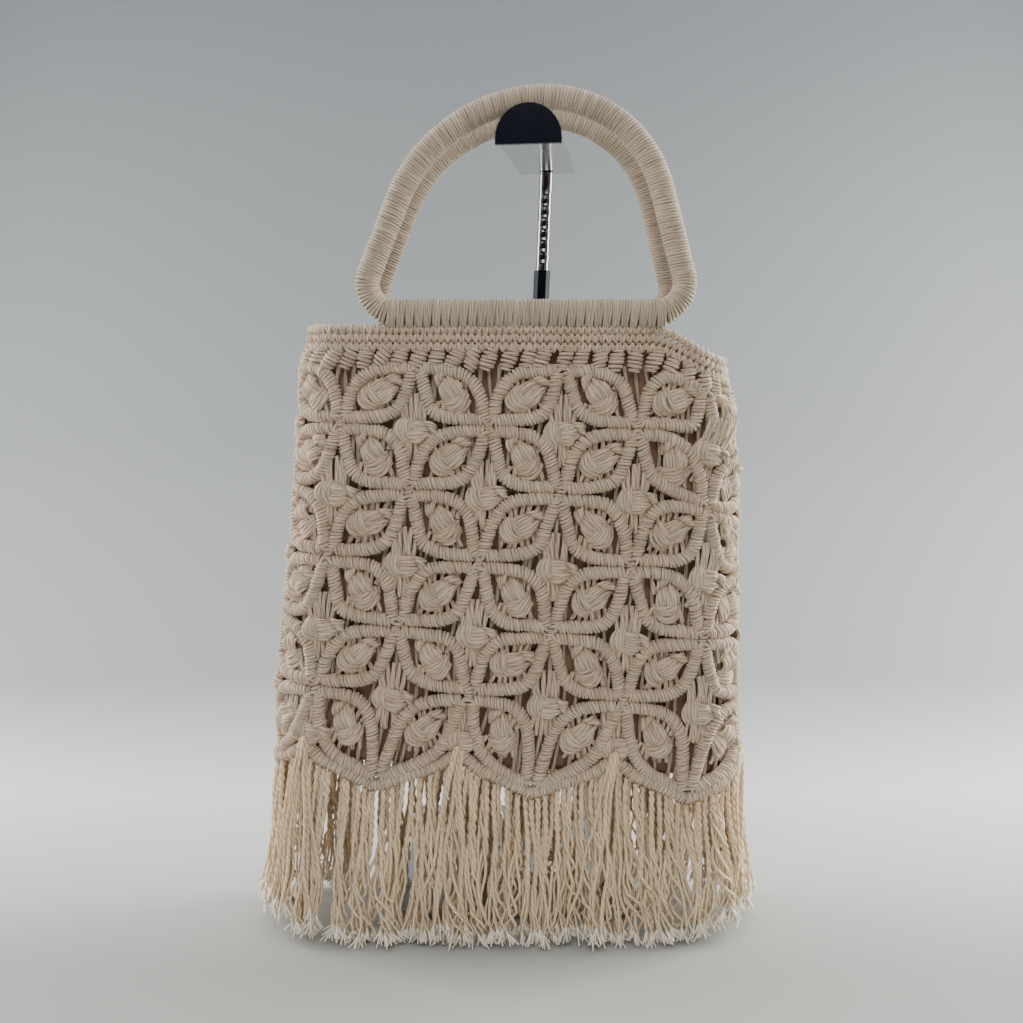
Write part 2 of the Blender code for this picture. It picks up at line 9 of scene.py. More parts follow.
import bpy
import numpy as np
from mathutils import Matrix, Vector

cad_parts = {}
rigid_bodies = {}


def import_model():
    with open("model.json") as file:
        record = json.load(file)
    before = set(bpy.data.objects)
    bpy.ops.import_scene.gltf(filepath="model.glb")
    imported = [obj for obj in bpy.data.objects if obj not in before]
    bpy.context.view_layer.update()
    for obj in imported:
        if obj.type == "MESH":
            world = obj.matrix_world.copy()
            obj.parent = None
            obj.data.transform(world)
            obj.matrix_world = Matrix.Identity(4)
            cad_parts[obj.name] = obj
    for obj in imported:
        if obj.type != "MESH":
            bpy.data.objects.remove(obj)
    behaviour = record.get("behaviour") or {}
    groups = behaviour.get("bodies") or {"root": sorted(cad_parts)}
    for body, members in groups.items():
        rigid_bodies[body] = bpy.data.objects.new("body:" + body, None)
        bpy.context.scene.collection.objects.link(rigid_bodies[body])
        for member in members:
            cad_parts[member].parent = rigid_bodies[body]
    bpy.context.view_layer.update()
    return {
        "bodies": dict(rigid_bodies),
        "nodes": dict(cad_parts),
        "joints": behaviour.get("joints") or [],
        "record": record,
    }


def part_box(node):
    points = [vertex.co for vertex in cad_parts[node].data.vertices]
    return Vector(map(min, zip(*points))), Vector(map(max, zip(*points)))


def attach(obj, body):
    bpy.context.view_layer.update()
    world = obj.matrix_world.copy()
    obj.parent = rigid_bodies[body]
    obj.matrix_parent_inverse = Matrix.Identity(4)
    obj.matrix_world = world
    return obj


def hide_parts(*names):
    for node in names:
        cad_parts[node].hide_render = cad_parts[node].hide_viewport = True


# The bag as part.py has it
BAG_WIDTH = 0.285
BAG_DEPTH = 0.060
FRONT_BULGE = 0.004
FRINGE_LENGTH = 0.085
EDGING_HEIGHT = 0.0115
EDGING_GAP = 0.0009
BODY_HEIGHT = 0.2447
BAND_HEIGHT = 0.0215
BAG_SETBACK = 0.075
RIGHT_DROOP = 0.018
CLEARANCE = 0.0003
BODY_WALL = 0.0075
LINING_GAP = 0.0020
LINING_RISE = 0.008
LINING_HEM = 0.006
REPEATS = 7
HEM_RISE = 0.0225
HEM_BEND = 0.62
SEAM_PLACE = 0.75
TIP_HEIGHT = FRINGE_LENGTH + EDGING_HEIGHT
BODY_TOP = TIP_HEIGHT + BODY_HEIGHT
BAND_FOOT = BODY_TOP + CLEARANCE
BAG_TOP = BAND_FOOT + BAND_HEIGHT
COLUMNS = 2 * REPEATS

SECTIONS = (
    {"height": 0.00, "width": 1.060, "depth": 1.14, "slope": 0.000, "lean": -0.028},
    {"height": 0.12, "width": 1.035, "depth": 1.09, "slope": 0.020, "lean": -0.025},
    {"height": 0.25, "width": 1.000, "depth": 1.02, "slope": 0.045, "lean": -0.021},
    {"height": 0.42, "width": 0.978, "depth": 1.00, "slope": 0.050, "lean": -0.020},
    {"height": 0.63, "width": 0.940, "depth": 1.03, "slope": 0.035, "lean": -0.008},
    {"height": 0.80, "width": 0.915, "depth": 1.00, "slope": 0.022, "lean": 0.000},
    {"height": 0.93, "width": 0.892, "depth": 0.95, "slope": 0.012, "lean": 0.000},
    {"height": 0.96, "width": 0.868, "depth": 0.93, "slope": 0.006, "lean": 0.000},
    {"height": 1.00, "width": 0.853, "depth": 0.93, "slope": 0.000, "lean": 0.000},
)

ROWS = (
    {"height": 0.000, "shift": -0.350},
    {"height": 0.223, "shift": -0.250},
    {"height": 0.380, "shift": -0.240},
    {"height": 0.544, "shift": -0.230},
    {"height": 0.708, "shift": -0.215},
    {"height": 0.859, "shift": -0.200},
    {"height": 1.000, "shift": -0.190},
)

DENTS = (
    {"round": -0.170, "height": 0.92, "reach": 0.016, "length": 0.13, "depth": 0.50},
    {"round": 0.172, "height": 0.88, "reach": 0.018, "length": 0.16, "depth": 0.42},
    {"round": 0.060, "height": 0.60, "reach": 0.030, "length": 0.20, "depth": 0.22},
    {"round": -0.090, "height": 0.45, "reach": 0.030, "length": 0.18, "depth": 0.22},
    {"round": 0.520, "height": 0.70, "reach": 0.040, "length": 0.25, "depth": 0.30},
)

# Handles as part.py has them
HANDLE_HEIGHT = 0.1277
HANDLE_THICKNESS = 0.014
ARCH_RADIUS = 0.0835
LEG_FLARE = math.radians(19.0)
CORNER_RADIUS = 0.015
HANDLE_LEAN = 0.0103
BACK_TILT = math.radians(7.5)
ROD_RADIUS = 0.0040
BASE_TOP = 0.0063

# Line of a leaf's ridge in its rectangle of the lattice, which has nodes at its lower left and upper right
LEAF_LINE = (
    {"across": 0.07, "up": 0.09},
    {"across": 0.30, "up": 0.09},
    {"across": 0.56, "up": 0.12},
    {"across": 0.76, "up": 0.24},
    {"across": 0.86, "up": 0.50},
    {"across": 0.93, "up": 0.82},
    {"across": 0.92, "up": 0.91},
    {"across": 0.63, "up": 0.90},
    {"across": 0.36, "up": 0.84},
    {"across": 0.19, "up": 0.65},
    {"across": 0.11, "up": 0.40},
    {"across": 0.07, "up": 0.17},
)

# Bands of parallel strands that make one knot cluster. Places are in millimetres from its middle, for a
# band's first strand, and the steps go from each strand to the next.
CLUSTER_BANDS = (
    {"count": 5, "rise": 2.8, "start": (-4.4, 6.0), "middle": (-7.2, 0.2), "end": (-4.6, -6.2),
     "start_step": (0.9, 0.1), "middle_step": (1.35, 0.0), "end_step": (1.0, 0.0)},
    {"count": 4, "rise": 3.3, "start": (-2.4, 0.6), "middle": (2.2, 0.5), "end": (6.8, 0.3),
     "start_step": (0.1, 1.2), "middle_step": (0.0, 1.35), "end_step": (-0.7, 0.9)},
    {"count": 4, "rise": 3.7, "start": (-2.4, -0.4), "middle": (2.4, -0.9), "end": (8.0, -1.9),
     "start_step": (0.0, -1.3), "middle_step": (-0.2, -1.35), "end_step": (-1.4, -0.8)},
    {"count": 4, "rise": 2.6, "start": (4.6, 4.2), "middle": (7.2, 3.8), "end": (9.4, 2.4),
     "start_step": (0.6, -1.0), "middle_step": (0.4, -1.3), "end_step": (0.0, -1.4)},
)
BERRY_SIZE = 1.12
BERRY_STRETCH = 1.18
BERRY_DEPTH = 0.0036
BERRY_DROP = 0.10
LOWEST_BERRY = 0.12
HEART_SIZE = 1.18
HEART_STRETCH = 1.30
HEART_DEPTH = 0.0044
HEART_TURN = math.radians(12.0)
MIRRORED_TURN = math.radians(10.0)

# Fans of strands that converge on a knot. Each has its half width and its distance up from the knot's
# middle at the far and the near end, and its height over the place where the knot sits.
FAN_STRANDS = 6
HEART_FANS = (
    {"wide": 0.0105, "far": 0.014, "near_wide": 0.0075, "near": 0.004, "sink": -0.0012},
    {"wide": 0.0105, "far": -0.014, "near_wide": 0.0075, "near": -0.004, "sink": -0.0012},
)
UPPER_BERRY_FAN = {"wide": 0.0080, "far": 0.0215, "near_wide": 0.0058, "near": 0.0050, "sink": -0.0006}
LOWER_BERRY_FAN = {"wide": 0.0075, "far": -0.0180, "near_wide": 0.0055, "near": -0.0050, "sink": -0.0008}

# Loops that bind the tips of four leaves
BINDING_DEPTH = 0.0034
BINDING_REACH = 0.095
BINDING_HALF_WIDTH = 0.0024
BINDING_RISE = 0.0021

# Cords of the knots, and those that run down behind them
CORD_SIDES = 5
LOOP_RADIUS = 0.00116
LOOP_PITCH = 0.00190
LOOP_STEPS = 6
LOOP_REACH = math.radians(104.0)
RIDGE_HALF_WIDTH = 0.0029
RIDGE_RISE = 0.0034
RIDGE_CORE_DEPTH = 0.0037
CORE_RADIUS = 0.0021
LOWEST_LEAF_DROP = 0.075
STRAND_RADIUS = 0.00132
GROUND_PER_COLUMN = 7
GROUND_STEPS = 34
GROUND_DEPTH = 0.0064
GROUND_RADIUS = 0.00128
# Painted shade: a factor that darkens the ground cords for the shade behind the leaves and knots.
GROUND_PAINTED_SHADE = 0.72

# Rows of the stitched rim, as shares of its height, and the small knots under them
RIM_ROWS = (0.885, 0.655, 0.425)
RIM_STEPS = 280
RIM_DEPTH = 0.0030
RIM_HALF_HEIGHT = 0.0021
RIM_RISE = 0.0019
RIM_SLANTS = (0.42, -0.30)
RIM_LOOP_RADIUS = 0.00108
KNOTS_PER_COLUMN = 4
KNOT_DEPTH = 0.0034
KNOT_MIDDLE = 0.0026
KNOT_HALF_HEIGHT = 0.0052
KNOT_HALF_WIDTH = 0.0036
KNOT_RISE = 0.0038
KNOT_PITCH = 0.0018
KNOT_TAPER = (0.72, 1.0, 1.05, 1.0, 0.78)

# Scalloped edging under the body's hem
EDGING_DROP = 0.0034
EDGING_SLANT = -0.30

# Fringe
FRINGE_LAYERS = (
    {"cords": 126, "depth": 0.0024},
    {"cords": 98, "depth": 0.0058},
)
SHALLOWEST_CORD = 0.0018
DEEPEST_CORD = 0.0065
CORD_START = 0.0062
CORD_END = (0.0010, 0.0080)
FRINGE_STEPS = 17
FRINGE_MIDDLE = -0.008
SIDE_LIFT = 0.014
SIDE_LIFT_START = 0.10
SIDE_LIFT_RUN = 0.05
CLUMP_REACH = 0.085
CORD_LEAN = 0.095
CORD_WAVE = 0.050
CORD_FLARE = (-0.003, 0.004)
DEPTH_WAVE = 0.0012
LOOSE_FROM = (0.0, 0.62)
LOOSE_RUN = 0.6
LOOSE_SPREAD = 2.6
PLIES = 3
PLY_RADIUS = 0.00102
PLY_PITCH = 0.0150
PLY_WANDER = 0.0019
CORDS_AT_PEAK = 5
PEAK_START = 0.0030
PEAK_DEPTH = -0.0006
PEAK_WIDTH = 0.050
PEAK_SPREAD = 0.26
PEAK_STRAND_RADIUS = 0.00115
FIBRES_PER_PLY = 6
FIBRE_LENGTH = (0.005, 0.009)
FIBRE_SPREAD = 0.0021
FIBRE_RADII = (0.00078, 0.00048)
FIBRE_SHADE = 1.12

# Where the fringe falls on the stand's base, and how far the cords' middles stay over what they lie on
BASE_REACH = 0.078
BASE_FRONT = -0.083
CORD_FLOOR = 0.0008
FIBRE_SINK = 0.0001

# Wrapped handles
WRAP_PITCH = 0.00165
WRAP_RADIUS = 0.00095
WRAP_STEPS = 14
WRAP_START = 0.35
WRAP_SLANT = 0.12
BAR_BLEND = 0.0030
BAR_DROP = 0.0030
BAR_GATHER = 0.00062

# Lining
LINING_STEPS = 168
LINING_LEVELS = 36
LINING_CLOSING = (0.02, 0.33, 0.66)
LINING_WAVE = 0.0004

# Ring notches of the rod, each a profile of distances from its middle and shares of the rod's radius
NOTCH_PITCH = 0.0068
FIRST_NOTCH = 5
NOTCH_PROFILE = ((-0.0015, 1.0), (-0.0007, 0.94), (0.0007, 0.94), (0.0015, 1.0))

# Camera, as the photograph was taken
CAMERA_PLACE = (-0.0036, -0.700, 0.338)
CAMERA_PITCH = math.radians(7.6)
CAMERA_LENS = 37.3

# Floor and backdrop, and a dark card behind the camera
STAGE_HALF_WIDTH = 2.6
STAGE_FRONT = -1.6
STAGE_BACK = 0.50
STAGE_BEND = 0.26
STAGE_TOP = 2.4
CARD_HALF_WIDTH = 1.6
CARD_PLACE = -0.95
CARD_LOW = 0.24
CARD_HIGH = 0.76

# Tones of the ground, by the way back along the floor and then up the backdrop in metres. They hold the
# ground's pale colour with painted light: lightest just behind the bag, darker towards the camera and up the
# backdrop.
GROUND_NEAR = -0.25
GROUND_FAR = 1.25
GROUND_UNEVEN = 0.05
GROUND_TONES_WITH_PAINTED_LIGHT = (
    {"way": -0.14, "tone": (0.390, 0.400, 0.390)},
    {"way": 0.12, "tone": (0.620, 0.650, 0.650)},
    {"way": 0.38, "tone": (0.300, 0.322, 0.326)},
    {"way": 0.70, "tone": (0.275, 0.302, 0.312)},
    {"way": 1.22, "tone": (0.152, 0.172, 0.188)},
)

# Lights, each with its place, what it points at, its width and height, and its power in watts
BAG_MIDDLE = (0.0, -0.075, 0.20)
FRINGE_FRONT = (0.0, -0.075, 0.08)
LIGHTS = (
    {"name": "key", "place": (-0.15, -1.20, 1.20), "target": BAG_MIDDLE, "size": (0.8, 0.8),
     "power": 11.5, "color": (1.0, 0.97, 0.92)},
    {"name": "low_fill", "place": (0.15, -1.10, 0.20), "target": FRINGE_FRONT, "size": (0.9, 0.3),
     "power": 2.6, "color": (1.0, 0.96, 0.90)},
    {"name": "left_rim", "place": (-0.85, 0.10, 0.45), "target": BAG_MIDDLE, "size": (0.35, 0.9),
     "power": 11.5, "color": (1.0, 0.96, 0.90)},
    {"name": "right_rim", "place": (0.85, 0.15, 0.45), "target": BAG_MIDDLE, "size": (0.35, 0.9),
     "power": 18.0, "color": (1.0, 0.96, 0.90)},
    {"name": "top", "place": (0.0, 0.15, 1.35), "target": BAG_MIDDLE, "size": (1.2, 0.8),
     "power": 9.0, "color": (0.97, 0.98, 1.0)},
)

random = np.random.default_rng(7)


def column_of(table, name):
    return np.array([row[name] for row in table])


def unit(vectors):
    return vectors / np.linalg.norm(vectors, axis=-1, keepdims=True)


def smooth_step(value):
    share = np.clip(value, 0.0, 1.0)
    return share * share * (3.0 - 2.0 * share)


def section_at(height):
    """Width and depth of the bag at heights above the floor."""
    share = height / BAG_TOP
    shares = column_of(SECTIONS, "height")
    width = np.interp(share, shares, column_of(SECTIONS, "width"))
    depth = np.interp(share, shares, column_of(SECTIONS, "depth"))
    return BAG_WIDTH * width, BAG_DEPTH * depth


def round_point(turn, width, depth):
    """Places and outward directions on a stadium, a share of the way round from the front's middle."""
    radius = depth / 2
    run = width - depth
    bend = math.pi * radius
    way = ((turn + 0.5) % 1.0 - 0.5) * 2 * (run + bend)
    side = np.where(way < 0.0, -1.0, 1.0)
    way = np.abs(way)
    angle = np.clip((way - run / 2) / radius, 0.0, math.pi)
    across = np.minimum(way, run / 2) - np.clip(way - run / 2 - bend, 0.0, None)
    out_x = side * np.sin(angle)
    out_y = -np.cos(angle)
    return side * across + radius * out_x, radius * out_y, out_x, out_y


def dent_at(turn, height):
    total = 0.0
    for dent in DENTS:
        aside = (turn - dent["round"] + 0.5) % 1.0 - 0.5
        along = height / BAG_TOP - dent["height"]
        total = total + dent["depth"] * np.exp(-(aside / dent["reach"]) ** 2 - (along / dent["length"]) ** 2)
    return total


def skin(turn, height, depth_in):
    """Points of the bag, so far in from its outer face."""
    turn, height, depth_in = np.broadcast_arrays(turn, height, depth_in)
    width, depth = section_at(height)
    x, y, out_x, out_y = round_point(turn, width, depth)
    belly = FRONT_BULGE * (1.0 - (2 * x / width) ** 2)
    outer_share = np.clip(1.0 - depth_in / BODY_WALL, 0.0, 1.0)
    inset = depth_in + BODY_WALL * dent_at(turn, height) * outer_share
    x = x - inset * out_x
    y = y - inset * out_y + belly * out_y
    end = smooth_step((2 * x / width - 0.60) / 0.38)
    share = height / BAG_TOP
    droop = RIGHT_DROOP * end * smooth_step((share - 0.45) / 0.50)
    droop = droop + np.interp(share, column_of(SECTIONS, "height"), column_of(SECTIONS, "slope")) * x
    lean = BAG_WIDTH * np.interp(share, column_of(SECTIONS, "height"), column_of(SECTIONS, "lean"))
    return np.stack([x + lean, y - BAG_SETBACK, height - droop], axis=-1)


def column_turn(column, height):
    shares = column_of(ROWS, "height")
    shift = np.interp((height - TIP_HEIGHT) / BODY_HEIGHT, shares, column_of(ROWS, "shift"))
    return (column / 2 + shift) / REPEATS


def hem_height(column):
    """Lower edge of the body: a V tip at each odd column and a peak at each even one."""
    aside = np.abs((column % 2.0) - 1.0)
    rise = np.interp(aside, (0.0, SEAM_PLACE, 1.0), (0.0, HEM_BEND, 1.0))
    return TIP_HEIGHT + HEM_RISE * rise


def lattice_point(column, row, depth_in):
    """Points at places in the lattice, whose lowest row starts at the scalloped hem."""
    heights = TIP_HEIGHT + BODY_HEIGHT * column_of(ROWS, "height")
    hem = hem_height(column)
    low = hem + (heights[1] - hem) * row
    height = np.where(row < 1.0, low, np.interp(row, np.arange(len(ROWS)), heights))
    return skin(column_turn(column, height), height, depth_in)


def lattice_frame(column, row, depth_in):
    """Places in the lattice with the directions right, up and outward there."""
    step = 0.02
    place = lattice_point(column, row, depth_in)
    right = unit(lattice_point(column + step, row, depth_in) - lattice_point(column - step, row, depth_in))
    out = lattice_point(column, row, BODY_WALL / 2) - lattice_point(column, row, BODY_WALL)
    out = unit(out - (out * right).sum(-1, keepdims=True) * right)
    return place, right, np.cross(out, right), out


def surface_frame(turn, height, depth_in):
    """Places on the bag with their outward directions."""
    place = skin(turn, height, depth_in)
    return place, unit(skin(turn, height, BODY_WALL / 2) - skin(turn, height, BODY_WALL))


def directions(points, closed):
    """Unit directions along a line of points, or along many such lines at once."""
    if closed:
        return unit(np.roll(points, -1, axis=-2) - np.roll(points, 1, axis=-2))
    return unit(np.gradient(points, axis=-2))


def smooth_ring(points, steps):
    """A smooth closed line through a ring of points."""
    before, after, beyond = (np.roll(points, shift, axis=0) for shift in (1, -1, -2))
    share = np.arange(steps)[:, None] / steps
    spans = []
    for a, b, c, d in zip(before, points, after, beyond):
        slope_in = (c - a) / 2
        slope_out = (d - b) / 2
        curve = (2 * share ** 3 - 3 * share ** 2 + 1) * b + (share ** 3 - 2 * share ** 2 + share) * slope_in
        spans.append(curve + (3 * share ** 2 - 2 * share ** 3) * c + (share ** 3 - share ** 2) * slope_out)
    return np.concatenate(spans)


def spaced(line, pitch, closed, *others):
    """A line's points, and what belongs to each, set again at even distances of about the pitch."""
    tail = [line[:1]] if closed else []
    whole = np.concatenate([line] + tail)
    way = np.concatenate([[0.0], np.cumsum(np.linalg.norm(np.diff(whole, axis=0), axis=1))])
    count = max(2, round(way[-1] / pitch))
    places = np.linspace(0.0, way[-1], count, endpoint=not closed)
    found = []
    for values in (line,) + others:
        values = np.concatenate([values, values[:1]]) if closed else values
        found.append(np.stack([np.interp(places, way, values[:, axis]) for axis in range(3)], axis=-1))
    return found


def face_places(low, high, start, end):
    """Places of the four corners of faces that lie between two sides and two levels."""
    corners = [np.stack(pair, axis=-1) for pair in ((low, start), (high, start), (high, end), (low, end))]
    return np.stack(corners, axis=-2)


class Cords:
    """Tubes of cord gathered into one mesh, with a place round and along each for its material."""

    def __init__(self):
        self.points = []
        self.faces = []
        self.places = []
        self.shades = []
        self.count = 0

    def sweep(self, paths, radius, sides, reference, closed=False, tone=1.0):
        """Tubes along paths of points. The reference is a direction that no path runs along."""
        lines = (paths, directions(paths, closed), np.broadcast_to(reference, paths.shape))
        if closed:
            lines = [np.concatenate([line, line[:, :1]], axis=1) for line in lines]
        paths, along, reference = lines
        paths_count, steps = paths.shape[:2]
        first = reference - (reference * along).sum(-1, keepdims=True) * along
        first = unit(first)[:, :, None]
        second = np.cross(along[:, :, None], first)
        angle = np.arange(sides)[:, None] * math.tau / sides
        radius = np.broadcast_to(radius, (paths_count, steps))[:, :, None, None]
        points = paths[:, :, None] + radius * (np.cos(angle) * first + np.sin(angle) * second)
        index = self.count + np.arange(paths_count * steps * sides).reshape(paths_count, steps, sides)
        beside = np.roll(index, -1, axis=2)
        faces = np.stack([index[:, :-1], beside[:, :-1], beside[:, 1:], index[:, 1:]], axis=-1)
        spans = np.linalg.norm(np.diff(paths, axis=1), axis=-1)
        way = np.concatenate([np.zeros((paths_count, 1)), np.cumsum(spans, axis=1)], axis=1)[:, :, None]
        way = way + random.uniform(0.0, 0.05, (paths_count, 1, 1))
        low = np.broadcast_to(np.arange(sides) / sides, (paths_count, steps - 1, sides))
        high = low + 1.0 / sides
        start = np.broadcast_to(way[:, :-1], low.shape)
        end = np.broadcast_to(way[:, 1:], low.shape)
        places = face_places(low, high, start, end)
        shades = np.broadcast_to(tone * random.normal(1.0, 0.07, (paths_count, 1, 1)), index.shape)
        self.points.append(points.reshape(-1, 3))
        self.faces.append(faces.reshape(-1, 4))
        self.places.append(places.reshape(-1, 2))
        self.shades.append(shades.reshape(-1))
        self.count += index.size

    def piece(self, name, finish, slot, *nodes):
        return add_piece(name, np.concatenate(self.points), np.concatenate(self.faces),
                         np.concatenate(self.places), np.concatenate(self.shades), finish, slot, *nodes)


def add_piece(name, points, faces, places, shades, finish, slot, *nodes):
    """A mesh from arrays of points, four-cornered faces, their corners' places and the points' shades."""
    mesh = bpy.data.meshes.new(name)
    mesh.vertices.add(len(points))
    mesh.vertices.foreach_set("co", points.astype(np.float32).ravel())
    mesh.loops.add(faces.size)
    mesh.loops.foreach_set("vertex_index", faces.astype(np.int32).ravel())
    mesh.polygons.add(len(faces))
    mesh.polygons.foreach_set("loop_start", np.arange(0, faces.size, 4, dtype=np.int32))
    mesh.update(calc_edges=True)
    mesh.uv_layers.new(name="cord").data.foreach_set("uv", places.astype(np.float32).ravel())
    mesh.attributes.new("shade", "FLOAT", "POINT").data.foreach_set("value", shades.astype(np.float32))
    mesh.shade_smooth()
    mesh.materials.append(finish)
    piece = bpy.data.objects.new(name, mesh)
    bpy.context.scene.collection.objects.link(piece)
    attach(piece, "root")
    if nodes:
        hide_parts(*nodes)
    return piece


def wrap_core(cords, core, out, half_width, rise, closed=True, pitch=LOOP_PITCH, radius=LOOP_RADIUS,
              slants=(0.22,), taper=None):
    """Loops of cord laid side by side over a core cord, each an arch from one side to the other."""
    core, out = spaced(core, pitch, closed, out)
    count = len(core)
    along = directions(core, closed)
    inner = (core + out * rise * 0.1)[None, ::2]
    cords.sweep(inner, CORE_RADIUS * half_width / RIDGE_HALF_WIDTH, 6, out[::2], closed=closed)
    aside = unit(np.cross(along, out))
    angle = np.linspace(-LOOP_REACH, LOOP_REACH, LOOP_STEPS)
    size = random.normal(1.0, 0.045, count)
    if taper is not None:
        size = size * np.interp(np.linspace(0.0, 1.0, count), np.linspace(0.0, 1.0, len(taper)), taper)
    across = half_width * size[:, None] * np.sin(angle)
    up = rise * size[:, None] * np.cos(angle)
    slant = np.resize(slants, count) + random.normal(0.0, 0.05, count)
    forward = slant[:, None] * across + random.normal(0.0, 0.06, count)[:, None] * pitch
    paths = (core[:, None] + aside[:, None] * across[..., None] + out[:, None] * up[..., None]
             + along[:, None] * forward[..., None])
    thickness = radius * random.normal(1.0, 0.05, (count, 1)) * np.ones(LOOP_STEPS)
    cords.sweep(paths, thickness, CORD_SIDES, along[:, None])


def leaf_loops(cords, column, row):
    """The ridge of loops round one leaf."""
    line = np.stack([column_of(LEAF_LINE, "across"), column_of(LEAF_LINE, "up")], axis=-1)
    line = line + random.uniform(-0.014, 0.014, line.shape)
    line = smooth_ring(line, 8)
    if row == 0:
        line[:, 1] -= LOWEST_LEAF_DROP * (1.0 - line[:, 1])
    across = line[:, 0]
    if (column + row) % 2 == 0:
        across = 1.0 - across
    place, _, _, out = lattice_frame(column + across, row + line[:, 1], RIDGE_CORE_DEPTH)
    wrap_core(cords, place, out, RIDGE_HALF_WIDTH, RIDGE_RISE)


def bent_strands(cords, start, middle, end, start_rise, middle_rise, end_rise, frame, steps=7):
    """Strands through three flat places each, in a frame of place, right, up and outward directions."""
    place, right, up, out = frame
    share = np.linspace(0.0, 1.0, steps)[:, None]
    control = 2 * middle - (start + end) / 2
    flat = ((1 - share) ** 2 * start[:, None] + 2 * share * (1 - share) * control[:, None]
            + share ** 2 * end[:, None])
    ends = start_rise + (end_rise - start_rise) * share[:, 0]
    bulge = np.sin(math.pi * share[:, 0]) ** 0.7
    height = ends + (middle_rise[:, None] - ends) * bulge
    paths = place + flat[..., :1] * right + flat[..., 1:] * up + height[..., None] * out
    cords.sweep(paths, STRAND_RADIUS * random.normal(1.0, 0.05, (len(start), 1)), CORD_SIDES, out)


def knot_cluster(cords, frame, tilt, size, stretch=1.0):
    """A knot that shows as four bands of parallel strands, turned by a tilt in its frame."""
    spin = np.array([[math.cos(tilt), math.sin(tilt)], [-math.sin(tilt), math.cos(tilt)]])
    spin = 0.001 * size * np.diag([stretch, 1.0]) @ spin
    for band in CLUSTER_BANDS:
        number = np.arange(band["count"])
        ends = {}
        for key in ("start", "middle", "end"):
            flat = np.array(band[key]) + number[:, None] * np.array(band[key + "_step"])
            ends[key] = (flat + random.normal(0.0, 0.18, flat.shape)) @ spin
        beside = 2 * number / (band["count"] - 1) - 1
        crown = 0.001 * size * (band["rise"] - 0.6 * beside ** 2 + random.normal(0.0, 0.15, len(number)))
        bent_strands(cords, ends["start"], ends["middle"], ends["end"], -0.0012, crown, -0.0014, frame)


def fan_strands(cords, frame, wide, far, near_wide, near, sink):
    """Strands that converge on a knot, all above it or all below it."""
    count = FAN_STRANDS
    share = np.linspace(-1.0, 1.0, count)
    start = np.stack([wide * share, far - 0.0015 * share ** 2 * np.sign(far)], axis=-1)
    end = np.stack([near_wide * share, np.full(count, near)], axis=-1)
    start = start + random.normal(0.0, 0.0004, start.shape)
    middle = start * 0.5 + end * 0.5 + random.normal(0.0, 0.0004, start.shape)
    crown = np.full(count, sink + 0.0008)
    bent_strands(cords, start, middle, end, sink - 0.0006, crown, sink + 0.0004, frame, steps=5)


def leaf_heart(cords, column, row):
    """The knot inside one leaf, and the strands that run to it from the ridge."""
    mirrored = (column + row) % 2 == 0
    frame = lattice_frame(column + 0.5, row + 0.5, HEART_DEPTH)
    way = lattice_point(column + 0.8, row + 0.8, HEART_DEPTH)
    way = way - lattice_point(column + 0.2, row + 0.2, HEART_DEPTH)
    lean = math.atan2(way @ frame[2], way @ frame[1])
    tilt = (math.pi - lean if mirrored else lean) - HEART_TURN + random.normal(0.0, 0.12)
    if mirrored:
        tilt -= MIRRORED_TURN
    knot_cluster(cords, frame, tilt, HEART_SIZE, HEART_STRETCH)
    for fan in HEART_FANS:
        fan_strands(cords, frame, **fan)


def binding_loops(cords, column, row):
    """The few loops that bind four leaf tips."""
    share = np.linspace(-1.0, 1.0, 7)
    across = column + random.normal(0.0, 0.02) * share
    place, _, _, out = lattice_frame(across, row + BINDING_REACH * share, BINDING_DEPTH)
    wrap_core(cords, place, out, BINDING_HALF_WIDTH, BINDING_RISE, closed=False,
              slants=(random.normal(0.15, 0.10),))


def make_body(finish):
    """The knotted wall: a ridge round each leaf, a knot in it, and between leaves a knot or a binding."""
    halves = {"front": Cords(), "back": Cords()}
    knots = Cords()
    for row in range(len(ROWS) - 1):
        for column in range(COLUMNS):
            middle = lattice_point(column + 0.5, row + 0.5, 0.0)
            half = "front" if middle[1] < -BAG_SETBACK else "back"
            leaf_loops(halves[half], column, row)
            leaf_heart(knots, column, row)
    for row in range(len(ROWS) - 1):
        for column in range(COLUMNS):
            if (column + row) % 2 == 1:
                if row > 0:
                    binding_loops(knots, column, row)
                continue
            frame = lattice_frame(column, max(row - BERRY_DROP, LOWEST_BERRY), BERRY_DEPTH)
            knot_cluster(knots, frame, random.normal(0.0, 0.12), BERRY_SIZE, BERRY_STRETCH)
            fan_strands(knots, frame, **UPPER_BERRY_FAN)
            if row > 0:
                fan_strands(knots, frame, **LOWER_BERRY_FAN)
    pieces = [halves[half].piece("leaf_ridges_" + half, finish, "knotted_cotton") for half in halves]
    pieces.append(knots.piece("knot_clusters", finish, "knotted_cotton"))
    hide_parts("macrame_body")


def make_ground(finish):
    """Cords that run down behind the leaves and the knots."""
    cords = Cords()
    count = COLUMNS * GROUND_PER_COLUMN
    row = np.linspace(0.02, len(ROWS) - 1.02, GROUND_STEPS)
    column = np.arange(count)[:, None] / GROUND_PER_COLUMN + random.normal(0.0, 0.02, (count, 1))
    wave = np.sin(row * random.uniform(1.5, 4.0, (count, 1)) + random.uniform(0.0, math.tau, (count, 1)))
    depth = GROUND_DEPTH + random.normal(0.0, 0.0003, (count, 1))
    place, _, _, out = lattice_frame(column + 0.04 * wave, row, depth)
    radius = GROUND_RADIUS * random.normal(1.0, 0.08, (count, 1))
    # Painted shade: these cords are darkened for the shade they lie in behind the leaves and knots.
    cords.sweep(place, radius, CORD_SIDES, out, tone=GROUND_PAINTED_SHADE)
    cords.piece("ground_cords", finish, "knotted_cotton")


